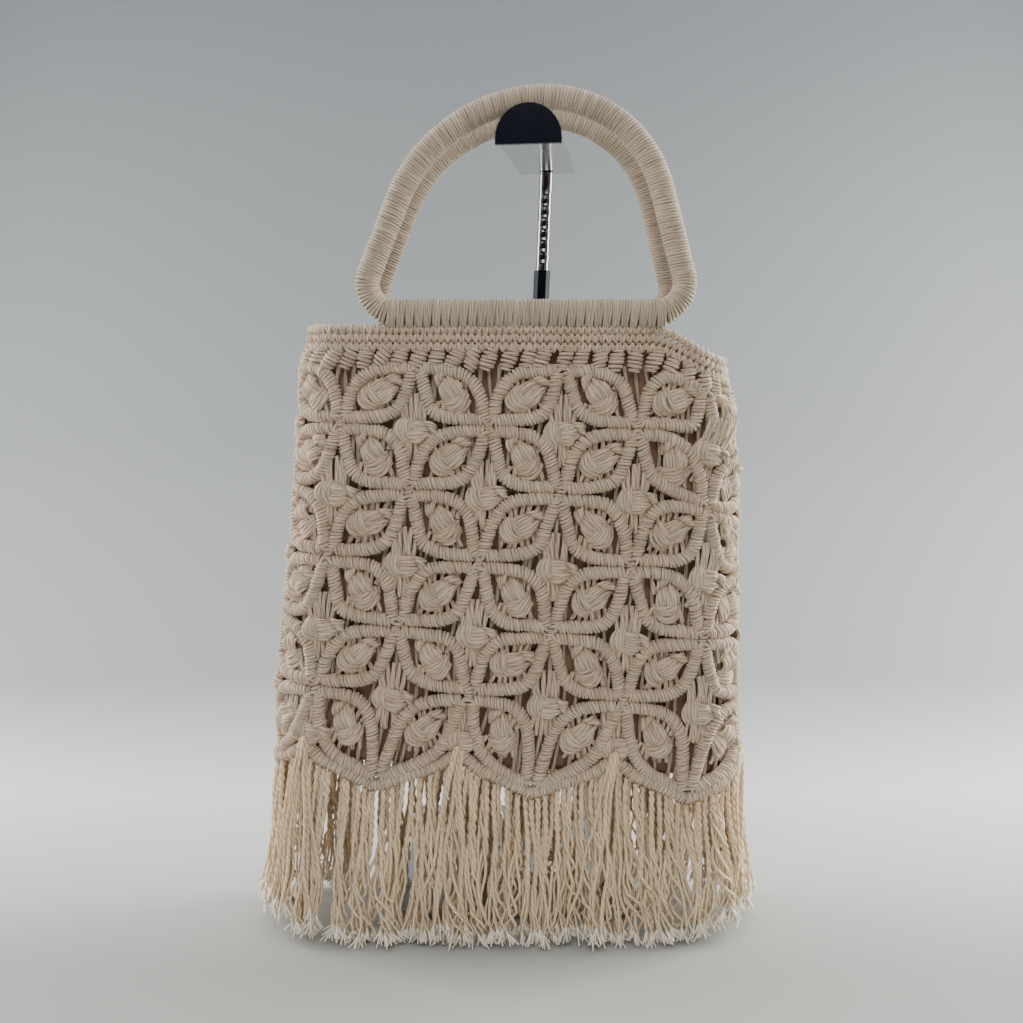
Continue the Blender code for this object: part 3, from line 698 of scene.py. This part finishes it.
def make_rim(finish):
    """Rows of stitches round the mouth, with a row of small knots under them."""
    cords = Cords()
    turn = np.arange(0.0, 1.0, 1.0 / RIM_STEPS)
    for share in RIM_ROWS:
        height = BAND_FOOT + BAND_HEIGHT * share
        place, out = surface_frame(turn, height, RIM_DEPTH)
        wrap_core(cords, place, out, RIM_HALF_HEIGHT, RIM_RISE, slants=RIM_SLANTS, radius=RIM_LOOP_RADIUS)
    steps = COLUMNS * KNOTS_PER_COLUMN
    for index in range(steps):
        middle = column_turn(index / KNOTS_PER_COLUMN, BODY_TOP) + random.normal(0.0, 0.0012)
        share = np.linspace(-1.0, 1.0, 9)
        height = BODY_TOP + KNOT_MIDDLE + KNOT_HALF_HEIGHT * share
        lean = random.normal(0.0036, 0.0012)
        place, out = surface_frame(middle + lean * share, height, KNOT_DEPTH)
        wrap_core(cords, place, out, KNOT_HALF_WIDTH, KNOT_RISE, closed=False, pitch=KNOT_PITCH,
                  radius=RIM_LOOP_RADIUS, slants=(random.normal(0.10, 0.18),), taper=KNOT_TAPER)
    cords.piece("rim_stitches", finish, "knotted_cotton", "top_band")


def make_edging(finish):
    """The ridge of loops that follows the scalloped lower edge."""
    cords = Cords()
    column = np.arange(0.0, COLUMNS, 0.05)
    hem = hem_height(column)
    turn = column_turn(column, hem)
    place, out = surface_frame(turn, hem - EDGING_DROP, RIDGE_CORE_DEPTH)
    wrap_core(cords, place, out, RIDGE_HALF_WIDTH, RIDGE_RISE, slants=(EDGING_SLANT,))
    cords.piece("scalloped_edging", finish, "fringe_cotton", "fringe")


def hang_cords(cords, fibres, column, top, depth, spread, plies=PLIES, ply_radius=PLY_RADIUS):
    """Cords that fall to the floor: twisted at first, then parted into plies with frayed ends."""
    count = len(column)
    share = np.linspace(0.0, 1.0, FRINGE_STEPS)
    foot = skin(column_turn(column, 0.02), 0.02, depth)[:, 0]
    side_lift = SIDE_LIFT * smooth_step((np.abs(foot - FRINGE_MIDDLE) - SIDE_LIFT_START) / SIDE_LIFT_RUN)
    end = random.uniform(*CORD_END, count) + side_lift
    height = top[:, None] + (end - top)[:, None] * share
    clump = CLUMP_REACH * np.sin(2 * math.pi * (1.9 * column + 0.35 * np.sin(1.7 * column)))
    lean = (clump + random.normal(0.0, CORD_LEAN, count) + spread)[:, None] * share ** 1.2
    swing = share * random.uniform(4.0, 9.0, (count, 1)) + random.uniform(0.0, 6.3, (count, 1))
    turn = column_turn(column[:, None] + lean + CORD_WAVE * np.sin(swing) * share ** 0.7, height)
    flare = random.uniform(*CORD_FLARE, (count, 1)) * share ** 2
    sway = share * 7.0 + random.uniform(0.0, 6.3, (count, 1))
    depth = depth[:, None] - flare + DEPTH_WAVE * np.sin(sway)
    centre = skin(turn, height, depth)
    out = unit(skin(turn, height, 0.0) - skin(turn, height, BODY_WALL))
    aside = unit(np.cross(out, np.array([0.0, 0.0, 1.0])))
    loosen = smooth_step((share - random.uniform(*LOOSE_FROM, (count, 1))) / LOOSE_RUN)
    length = np.linalg.norm(np.diff(centre, axis=1), axis=-1).sum(axis=1)[:, None]
    start = random.uniform(0.0, math.tau, (count, 1))
    for ply in range(plies):
        angle = start + math.tau * (length / PLY_PITCH * (share - 0.45 * loosen * share) + ply / plies)
        reach = 0.95 + LOOSE_SPREAD * loosen * random.uniform(0.2, 1.2, (count, 1))
        reach = ply_radius * reach * (plies > 1)
        swing = share * random.uniform(8.0, 16.0, (count, 1)) + 2.1 * ply + start
        wander = PLY_WANDER * loosen * np.sin(swing)
        path = (centre + aside * (reach * np.cos(angle) + wander)[..., None]
                + out * (reach * np.sin(angle))[..., None])
        path[..., 2] = np.maximum(path[..., 2], floor_under(path))
        radius = ply_radius * np.interp(share, (0.0, 0.80, 1.0), (1.0, 0.88, 0.60))
        cords.sweep(path, radius * random.normal(1.0, 0.07, (count, 1)), 4, out)
        fray_ends(fibres, path, aside[:, -1:], out[:, -1:])


def floor_under(path):
    """Lowest height that a cord may have: just over the floor or the stand's base."""
    over_base = (np.abs(path[..., 0]) < BASE_REACH) & (path[..., 1] > BASE_FRONT)
    return np.where(over_base, BASE_TOP + CORD_FLOOR, CORD_FLOOR)


def fray_ends(fibres, path, aside, out):
    """Fine fibres that spread from the end of each ply."""
    count = len(path)
    share = np.linspace(0.0, 1.0, 4)[:, None]
    start = path[:, -2:-1]
    down = unit(path[:, -1:] - path[:, -3:-2])
    for _ in range(FIBRES_PER_PLY):
        length = random.uniform(*FIBRE_LENGTH, (count, 1, 1))
        spread = random.normal(0.0, FIBRE_SPREAD, (count, 2, 1))
        fibre = (start + down * length * share + aside * spread[:, :1] * share ** 1.4
                 + out * spread[:, 1:] * share ** 1.4)
        fibre[..., 2] = np.maximum(fibre[..., 2], floor_under(fibre) - FIBRE_SINK)
        fibres.sweep(fibre, np.interp(share[:, 0], (0.0, 1.0), FIBRE_RADII), 3, out, tone=FIBRE_SHADE)


def make_fringe(finish, frayed):
    """Layers of cords under the edging, and a few that gather at each peak and fall over it."""
    cords = Cords()
    fibres = Cords()
    for layer in FRINGE_LAYERS:
        count = layer["cords"]
        column = np.arange(count) * COLUMNS / count + random.normal(0.0, 0.026, count)
        depth = layer["depth"] + random.normal(0.0, 0.0009, count)
        depth = np.clip(depth, SHALLOWEST_CORD, DEEPEST_CORD)
        hang_cords(cords, fibres, column, hem_height(column) - EDGING_GAP - CORD_START, depth, 0.0)
    fan = np.tile(np.linspace(-1.0, 1.0, CORDS_AT_PEAK), REPEATS)
    column = np.repeat(np.arange(0.0, COLUMNS, 2.0), CORDS_AT_PEAK) + PEAK_WIDTH * fan
    depth = np.full(len(column), PEAK_DEPTH)
    hang_cords(cords, fibres, column, hem_height(column) + PEAK_START, depth, PEAK_SPREAD * fan, 1,
               PEAK_STRAND_RADIUS)
    cords.piece("fringe_cords", finish, "fringe_cotton")
    fibres.piece("frayed_ends", frayed, "fringe_cotton")


def handle_outline():
    """Centre line of a ring, across and up from the bar, as part.py has it."""
    tube = HANDLE_THICKNESS / 2
    radius = ARCH_RADIUS - tube
    height = HANDLE_HEIGHT - HANDLE_THICKNESS
    arch_centre = height - radius
    leg_up = arch_centre + radius * math.sin(LEG_FLARE)
    leg_across = radius * math.cos(LEG_FLARE) + (leg_up - CORNER_RADIUS) * math.tan(LEG_FLARE)
    corner_across = leg_across - CORNER_RADIUS / math.cos(LEG_FLARE)
    arch = np.linspace(math.pi / 2, LEG_FLARE, 30)
    corner = np.linspace(LEG_FLARE, -math.pi / 2, 16)
    across = np.concatenate([radius * np.cos(arch), corner_across + CORNER_RADIUS * np.cos(corner)])
    corner_up = CORNER_RADIUS + CORNER_RADIUS * np.sin(corner)
    up = np.concatenate([arch_centre + radius * np.sin(arch), corner_up])
    across = np.concatenate([across, -across[:0:-1]])
    up = np.concatenate([up, up[:0:-1]])
    return np.stack([across + HANDLE_LEAN * (up / height) ** 2, np.zeros(len(up)), up], axis=-1)


def make_handle(name, tilt, finish):
    """A ring wrapped in cord, whose loops on the bar reach down to the rim and gather in threes."""
    low, high = (np.array(corner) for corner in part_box(name))
    tube = HANDLE_THICKNESS / 2
    line = handle_outline()
    middle = (line[:, 0].min() + line[:, 0].max()) / 2
    origin = np.array([(low[0] + high[0]) / 2 - middle, high[1] - tube, low[2] + tube])
    line = spaced(line, WRAP_PITCH, True)[0]
    along = directions(line, True)
    behind = np.array([0.0, 1.0, 0.0])
    inward = np.cross(along, behind)
    count = len(line)
    angle = np.arange(WRAP_STEPS) * math.tau / WRAP_STEPS + WRAP_START
    reach = (tube - WRAP_RADIUS) * random.normal(1.0, 0.010, (count, 1))
    slant = WRAP_SLANT * np.cos(angle) + random.normal(0.0, 0.012, (count, 1))
    paths = (line[:, None] + inward[:, None] * (reach * np.cos(angle))[..., None]
             + behind * (reach * np.sin(angle))[..., None] + along[:, None] * (slant * reach)[..., None])
    on_bar = smooth_step((BAR_BLEND - line[:, 2]) / BAR_BLEND)[:, None]
    below = np.clip(-paths[..., 2] / tube, 0.0, 1.0) * on_bar
    group = np.arange(count) % 3 - 1
    paths[..., 2] -= BAR_DROP * below
    paths -= along[:, None] * (group[:, None] * BAR_GATHER * below)[..., None]
    cosine, sine = math.cos(tilt), math.sin(tilt)
    turned = np.array([[1.0, 0.0, 0.0], [0.0, cosine, sine], [0.0, -sine, cosine]])
    paths = paths @ turned
    along = along @ turned
    cords = Cords()
    thickness = WRAP_RADIUS * random.normal(1.0, 0.04, (count, 1))
    cords.sweep(paths + origin, thickness, 5, along[:, None], closed=True)
    cords.piece(name + "_wrap", finish, "wrapped_cotton", name)


def make_lining(finish):
    """The cloth pouch behind the knots."""
    foot = TIP_HEIGHT + LINING_RISE
    steps = LINING_STEPS
    turn = np.arange(steps) / steps
    wall_heights = np.linspace(foot + 0.004, BAG_TOP - LINING_HEM, LINING_LEVELS)
    heights = np.concatenate([[foot, foot + 0.001], wall_heights])
    inner = BODY_WALL + LINING_GAP
    depth_in = np.concatenate([[inner + 0.0035, inner + 0.0012], np.full(LINING_LEVELS, inner)])
    levels = [skin(turn, height, depth) for height, depth in zip(heights, depth_in)]
    bottom = levels[0].mean(axis=0)
    closing = [bottom + (levels[0] - bottom) * share for share in LINING_CLOSING]
    levels = closing + levels
    points = np.stack(levels)
    points[..., 1] += LINING_WAVE * np.sin(turn * 150.0)
    index = np.arange(points[..., 0].size).reshape(points.shape[:2])
    beside = np.roll(index, -1, axis=1)
    faces = np.stack([index[:-1], beside[:-1], beside[1:], index[1:]], axis=-1).reshape(-1, 4)
    low = np.broadcast_to(np.arange(steps) / steps, (len(levels) - 1, steps))
    high = low + 1.0 / steps
    start = np.broadcast_to(points[:-1, :, 2], low.shape)
    end = np.broadcast_to(points[1:, :, 2], low.shape)
    places = face_places(low, high, start, end)
    piece = add_piece("lining_cloth", points.reshape(-1, 3), faces, places.reshape(-1, 2),
                      np.ones(points[..., 0].size), finish, "lining_cloth", "lining")


def make_rod(finish):
    """The telescoping rod with its ring notches, along the line of the frame's own rod."""
    low, high = (np.array(corner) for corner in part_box("stand_rod"))
    foot = np.array([low[0] + ROD_RADIUS, high[1] - ROD_RADIUS, low[2]])
    head = np.array([high[0] - ROD_RADIUS, low[1] + ROD_RADIUS, high[2]])
    shares = [0.0]
    radii = [ROD_RADIUS]
    height = high[2] - low[2]
    for index in range(FIRST_NOTCH, int(height / NOTCH_PITCH)):
        for offset, radius in NOTCH_PROFILE:
            shares.append((index * NOTCH_PITCH + offset) / height)
            radii.append(ROD_RADIUS * radius)
    shares.append(1.0)
    radii.append(ROD_RADIUS)
    path = foot + np.array(shares)[:, None] * (head - foot)
    rod = Cords()
    rod.sweep(path[None], np.array(radii)[None], 32, np.array([1.0, 0.0, 0.0]))
    rod.piece("notched_rod", finish, "rod_chrome", "stand_rod")


def add_node(tree, kind, inputs, **settings):
    """A node with its settings, its inputs given as values or as other nodes' outputs."""
    node = tree.nodes.new(kind)
    for name, value in settings.items():
        setattr(node, name, value)
    for socket, value in inputs.items():
        if isinstance(value, bpy.types.NodeSocket):
            tree.links.new(value, node.inputs[socket])
        else:
            node.inputs[socket].default_value = value
    return node


def new_material(name, **sockets):
    finish = bpy.data.materials.new(name)
    finish.use_nodes = True
    shader = finish.node_tree.nodes["Principled BSDF"]
    for socket, value in sockets.items():
        shader.inputs[socket.replace("_", " ").title()].default_value = value
    return finish, finish.node_tree, shader


def cotton(name, light, shadow, painted_groove_shade, plies, ply_pitch):
    """Twisted cotton cord: plies that wind round it, fine fibres, uneven colour, and painted light and
    shade: a lit and a shaded copy of its colour mixed in patches, and painted shade in the grooves between
    plies.
    """
    finish, tree, shader = new_material(name, sheen_weight=0.25, sheen_roughness=0.5)
    place = add_node(tree, "ShaderNodeUVMap", {}, uv_map="cord").outputs["UV"]
    parts = add_node(tree, "ShaderNodeSeparateXYZ", {"Vector": place})
    round_way = add_node(tree, "ShaderNodeMath", {0: parts.outputs["X"], 1: float(plies)},
                         operation="MULTIPLY")
    turns = {0: parts.outputs["Y"], 1: 1.0 / ply_pitch, 2: round_way.outputs[0]}
    phase = add_node(tree, "ShaderNodeMath", turns, operation="MULTIPLY_ADD")
    swing = add_node(tree, "ShaderNodeMath", {0: phase.outputs[0], 1: math.pi}, operation="MULTIPLY")
    wave = add_node(tree, "ShaderNodeMath", {0: swing.outputs[0]}, operation="SINE")
    ply = add_node(tree, "ShaderNodeMath", {0: wave.outputs[0]}, operation="ABSOLUTE")
    stretch = add_node(tree, "ShaderNodeVectorMath", {0: place, 1: (16.0, 420.0, 1.0)},
                       operation="MULTIPLY")
    fibres = add_node(tree, "ShaderNodeTexNoise",
                      {"Vector": stretch.outputs[0], "Scale": 1.0, "Detail": 3.0})
    where = add_node(tree, "ShaderNodeTexCoord", {}).outputs["Object"]
    patches = add_node(tree, "ShaderNodeTexNoise", {"Vector": where, "Scale": 42.0, "Detail": 4.0})
    fuzz = add_node(tree, "ShaderNodeTexNoise", {"Vector": where, "Scale": 2400.0, "Detail": 2.0})
    # Painted light and shade: a lit and a shaded copy of the cord's colour, mixed in random patches.
    tone = color_mix(tree, patches.outputs["Fac"], shadow, light)
    # Painted shade: the groove colour darkens the cord where its plies meet.
    groove_shade_mask = add_node(tree, "ShaderNodeMapRange", {"Value": ply.outputs[0], "From Max": 0.55})
    tone = color_mix(tree, groove_shade_mask.outputs["Result"], painted_groove_shade, tone)
    shade = add_node(tree, "ShaderNodeAttribute", {}, attribute_name="shade").outputs["Fac"]
    grain = add_node(tree, "ShaderNodeMapRange", {"Value": fibres.outputs["Fac"], "From Min": 0.3,
                                                  "From Max": 0.7, "To Min": 0.84, "To Max": 1.10})
    both = add_node(tree, "ShaderNodeMath", {0: shade, 1: grain.outputs["Result"]}, operation="MULTIPLY")
    final = add_node(tree, "ShaderNodeVectorMath", {0: tone, "Scale": both.outputs[0]},
                     operation="SCALE")
    tree.links.new(final.outputs[0], shader.inputs["Base Color"])
    rough = add_node(tree, "ShaderNodeMapRange", {"Value": fuzz.outputs["Fac"], "To Min": 0.82})
    tree.links.new(rough.outputs["Result"], shader.inputs["Roughness"])
    strands = add_node(tree, "ShaderNodeMath", {0: fibres.outputs["Fac"], 1: 0.45, 2: ply.outputs[0]},
                       operation="MULTIPLY_ADD")
    relief = add_node(tree, "ShaderNodeMath", {0: fuzz.outputs["Fac"], 1: 0.25, 2: strands.outputs[0]},
                      operation="MULTIPLY_ADD")
    bump = add_node(tree, "ShaderNodeBump",
                    {"Height": relief.outputs[0], "Strength": 0.75, "Distance": 0.00032})
    tree.links.new(bump.outputs["Normal"], shader.inputs["Normal"])
    return finish


def color_mix(tree, factor, first, second):
    """The colour output of a mix of two colours, each a tuple or another node's output."""
    mix = tree.nodes.new("ShaderNodeMix")
    mix.data_type = "RGBA"
    tree.links.new(factor, mix.inputs["Factor"])
    for socket, value in ((mix.inputs[6], first), (mix.inputs[7], second)):
        if isinstance(value, bpy.types.NodeSocket):
            tree.links.new(value, socket)
        else:
            socket.default_value = (*value, 1.0)
    return mix.outputs[2]


def lining_material():
    """Plain woven tan cloth with a little slub, its colour darkened as painted shade for the gaps behind the
    knots.
    """
    finish, tree, shader = new_material("tan_lining_painted_shade", roughness=0.92)
    place = add_node(tree, "ShaderNodeUVMap", {}, uv_map="cord").outputs["UV"]
    stretch = add_node(tree, "ShaderNodeVectorMath", {0: place, 1: (900.0, 1500.0, 1.0)},
                       operation="MULTIPLY")
    weave = add_node(tree, "ShaderNodeTexChecker", {"Vector": stretch.outputs[0], "Scale": 1.0})
    where = add_node(tree, "ShaderNodeTexCoord", {}).outputs["Object"]
    slub = add_node(tree, "ShaderNodeTexNoise", {"Vector": where, "Scale": 160.0, "Detail": 5.0})
    # Painted shade: these tan colours are darker than the cloth's own, for the deep shade in the gaps behind
    # the knots.
    tone = color_mix(tree, slub.outputs["Fac"], (0.19, 0.105, 0.068), (0.34, 0.215, 0.14))
    tree.links.new(tone, shader.inputs["Base Color"])
    bump = add_node(tree, "ShaderNodeBump",
                    {"Height": weave.outputs["Fac"], "Strength": 0.4, "Distance": 0.0002})
    tree.links.new(bump.outputs["Normal"], shader.inputs["Normal"])
    return finish


def hard_material(name, light, dark, rough, metallic, shine, grain, grain_scale):
    """A hard finish whose gloss and colour are a little uneven, with fine lines or specks in it."""
    finish, tree, shader = new_material(name, metallic=metallic)
    shader.inputs["Specular IOR Level"].default_value = shine
    where = add_node(tree, "ShaderNodeTexCoord", {}).outputs["Object"]
    stretched = add_node(tree, "ShaderNodeVectorMath", {0: where, 1: grain_scale}, operation="MULTIPLY")
    lines = add_node(tree, "ShaderNodeTexNoise",
                     {"Vector": stretched.outputs[0], "Scale": 1.0, "Detail": 3.0})
    smudge = add_node(tree, "ShaderNodeTexNoise", {"Vector": where, "Scale": 30.0, "Detail": 4.0})
    tree.links.new(color_mix(tree, smudge.outputs["Fac"], dark, light), shader.inputs["Base Color"])
    spread = add_node(tree, "ShaderNodeMapRange",
                      {"Value": lines.outputs["Fac"], "To Min": rough[0], "To Max": rough[1]})
    tree.links.new(spread.outputs["Result"], shader.inputs["Roughness"])
    bump = add_node(tree, "ShaderNodeBump",
                    {"Height": lines.outputs["Fac"], "Strength": grain, "Distance": 0.00004})
    tree.links.new(bump.outputs["Normal"], shader.inputs["Normal"])
    return finish


def dress(node, finish):
    """Give a frame node that keeps its shape a better material."""
    for holder in frame["nodes"][node].material_slots:
        holder.material = finish


def stage_material():
    """Plain matte ground with painted light: lightest on the floor just behind the bag, darker towards the
    camera and up the backdrop.
    """
    finish, tree, shader = new_material("pale_ground_painted_light", roughness=0.9)
    where = add_node(tree, "ShaderNodeTexCoord", {}).outputs["Object"]
    parts = add_node(tree, "ShaderNodeSeparateXYZ", {"Vector": where})
    speck = add_node(tree, "ShaderNodeTexNoise", {"Vector": where, "Scale": 5.0, "Detail": 3.0})
    way = add_node(tree, "ShaderNodeMath", {0: parts.outputs["Y"], 1: parts.outputs["Z"]}, operation="ADD")
    uneven = add_node(tree, "ShaderNodeMath", {0: speck.outputs["Fac"], 1: GROUND_UNEVEN, 2: way.outputs[0]},
                      operation="MULTIPLY_ADD")
    share = add_node(tree, "ShaderNodeMapRange",
                     {"Value": uneven.outputs[0], "From Min": GROUND_NEAR + GROUND_UNEVEN / 2,
                      "From Max": GROUND_FAR + GROUND_UNEVEN / 2})
    # The ramp paints light onto the ground's pale colour.
    ramp = add_node(tree, "ShaderNodeValToRGB", {"Fac": share.outputs["Result"]})
    stops = ramp.color_ramp.elements
    for index, row in enumerate(GROUND_TONES_WITH_PAINTED_LIGHT):
        place = (row["way"] - GROUND_NEAR) / (GROUND_FAR - GROUND_NEAR)
        stop = stops[index] if index < 2 else stops.new(place)
        stop.position = place
        stop.color = (*row["tone"], 1.0)
    tree.links.new(ramp.outputs["Color"], shader.inputs["Base Color"])
    return finish


def make_stage():
    """A pale floor that turns up into a plain backdrop."""
    bend = STAGE_BEND
    angle = np.linspace(0.0, math.pi / 2, 13)
    y = np.concatenate([[STAGE_FRONT, 0.0], STAGE_BACK - bend + bend * np.sin(angle), [STAGE_BACK]])
    z = np.concatenate([[0.0, 0.0], bend - bend * np.cos(angle), [STAGE_TOP]])
    points = [(x, back, up) for back, up in zip(y, z) for x in (-STAGE_HALF_WIDTH, STAGE_HALF_WIDTH)]
    faces = [(2 * step, 2 * step + 1, 2 * step + 3, 2 * step + 2) for step in range(len(y) - 1)]
    mesh = bpy.data.meshes.new("ground")
    mesh.from_pydata(points, [], faces)
    mesh.shade_smooth()
    mesh.materials.append(stage_material())
    ground = bpy.data.objects.new("ground", mesh)
    bpy.context.scene.collection.objects.link(ground)


def make_card():
    """A dark card behind the camera, for the dark middle of what is polished."""
    finish = new_material("dark_card", roughness=1.0, base_color=(0.01, 0.01, 0.012, 1.0))[0]
    mesh = bpy.data.meshes.new("dark_card")
    low = [(x, CARD_PLACE, CARD_LOW) for x in (-CARD_HALF_WIDTH, CARD_HALF_WIDTH)]
    high = [(x, CARD_PLACE, CARD_HIGH) for x in (CARD_HALF_WIDTH, -CARD_HALF_WIDTH)]
    mesh.from_pydata(low + high, [], [(0, 1, 2, 3)])
    mesh.materials.append(finish)
    card = bpy.data.objects.new("dark_card", mesh)
    bpy.context.scene.collection.objects.link(card)


def add_light(name, place, target, size, power, color):
    light = bpy.data.lights.new(name, "AREA")
    light.shape = "RECTANGLE"
    light.size, light.size_y = size
    light.energy = power
    light.color = color
    lamp = bpy.data.objects.new(name, light)
    lamp.location = place
    way = np.array(target) - np.array(place)
    fall = math.atan2(math.hypot(way[0], way[1]), -way[2])
    lamp.rotation_euler = (fall, 0.0, math.atan2(way[1], way[0]) - math.pi / 2)
    bpy.context.scene.collection.objects.link(lamp)


def make_lights():
    world = bpy.data.worlds.new("studio")
    world.use_nodes = True
    world.node_tree.nodes["Background"].inputs["Color"].default_value = (0.93, 0.96, 1.0, 1.0)
    world.node_tree.nodes["Background"].inputs["Strength"].default_value = 0.45
    bpy.context.scene.world = world
    for row in LIGHTS:
        add_light(**row)


def make_camera():
    camera = bpy.data.cameras.new("camera")
    camera.lens = CAMERA_LENS
    camera.sensor_width = 36.0
    camera.clip_start = 0.01
    viewer = bpy.data.objects.new("camera", camera)
    viewer.location = CAMERA_PLACE
    viewer.rotation_euler = (math.pi / 2 - CAMERA_PITCH, 0.0, 0.0)
    bpy.context.scene.collection.objects.link(viewer)
    bpy.context.scene.camera = viewer


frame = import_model()

# Each cotton's groove colour is painted shade between its plies, and its light and shadow colours are
# painted light and shade.
knotted = cotton("knotted_cotton", light=(0.71, 0.58, 0.44), shadow=(0.55, 0.43, 0.31),
                 painted_groove_shade=(0.25, 0.165, 0.105), plies=3, ply_pitch=0.0110)
wrapped = cotton("wrapped_cotton", light=(0.60, 0.50, 0.385), shadow=(0.48, 0.39, 0.29),
                 painted_groove_shade=(0.30, 0.22, 0.15), plies=3, ply_pitch=0.0120)
strands = cotton("fringe_cotton", light=(0.94, 0.79, 0.57), shadow=(0.80, 0.62, 0.40),
                 painted_groove_shade=(0.50, 0.33, 0.17), plies=2, ply_pitch=0.0055)
frayed = cotton("frayed_cotton", light=(0.97, 0.93, 0.84), shadow=(0.92, 0.85, 0.72),
                painted_groove_shade=(0.80, 0.71, 0.57), plies=1, ply_pitch=0.0100)
make_camera()
make_stage()
make_card()
make_lights()
make_body(knotted)
make_ground(knotted)
make_rim(knotted)
make_edging(knotted)
make_fringe(strands, frayed)
make_handle("handle_front", 0.0, wrapped)
make_handle("handle_back", BACK_TILT, wrapped)
make_lining(lining_material())
chrome = hard_material("polished_chrome", (0.56, 0.57, 0.59), (0.46, 0.47, 0.50), rough=(0.08, 0.22),
                       metallic=1.0, shine=0.5, grain=0.15, grain_scale=(900.0, 40.0, 900.0))
gloss = hard_material("gloss_black", (0.006, 0.008, 0.016), (0.003, 0.004, 0.009), rough=(0.16, 0.28),
                      metallic=0.0, shine=0.12, grain=0.10, grain_scale=(300.0, 300.0, 300.0))
steel = hard_material("satin_steel", (0.46, 0.47, 0.48), (0.34, 0.35, 0.37), rough=(0.28, 0.46),
                      metallic=1.0, shine=0.5, grain=0.35, grain_scale=(60.0, 1400.0, 60.0))
dark_chrome = hard_material("dark_chrome", (0.30, 0.30, 0.32), (0.20, 0.20, 0.22), rough=(0.05, 0.12),
                            metallic=1.0, shine=0.5, grain=0.10, grain_scale=(900.0, 40.0, 900.0))
make_rod(dark_chrome)
dress("stand_arm", chrome)
dress("stand_cap", gloss)
dress("stand_post", gloss)
dress("stand_base", steel)
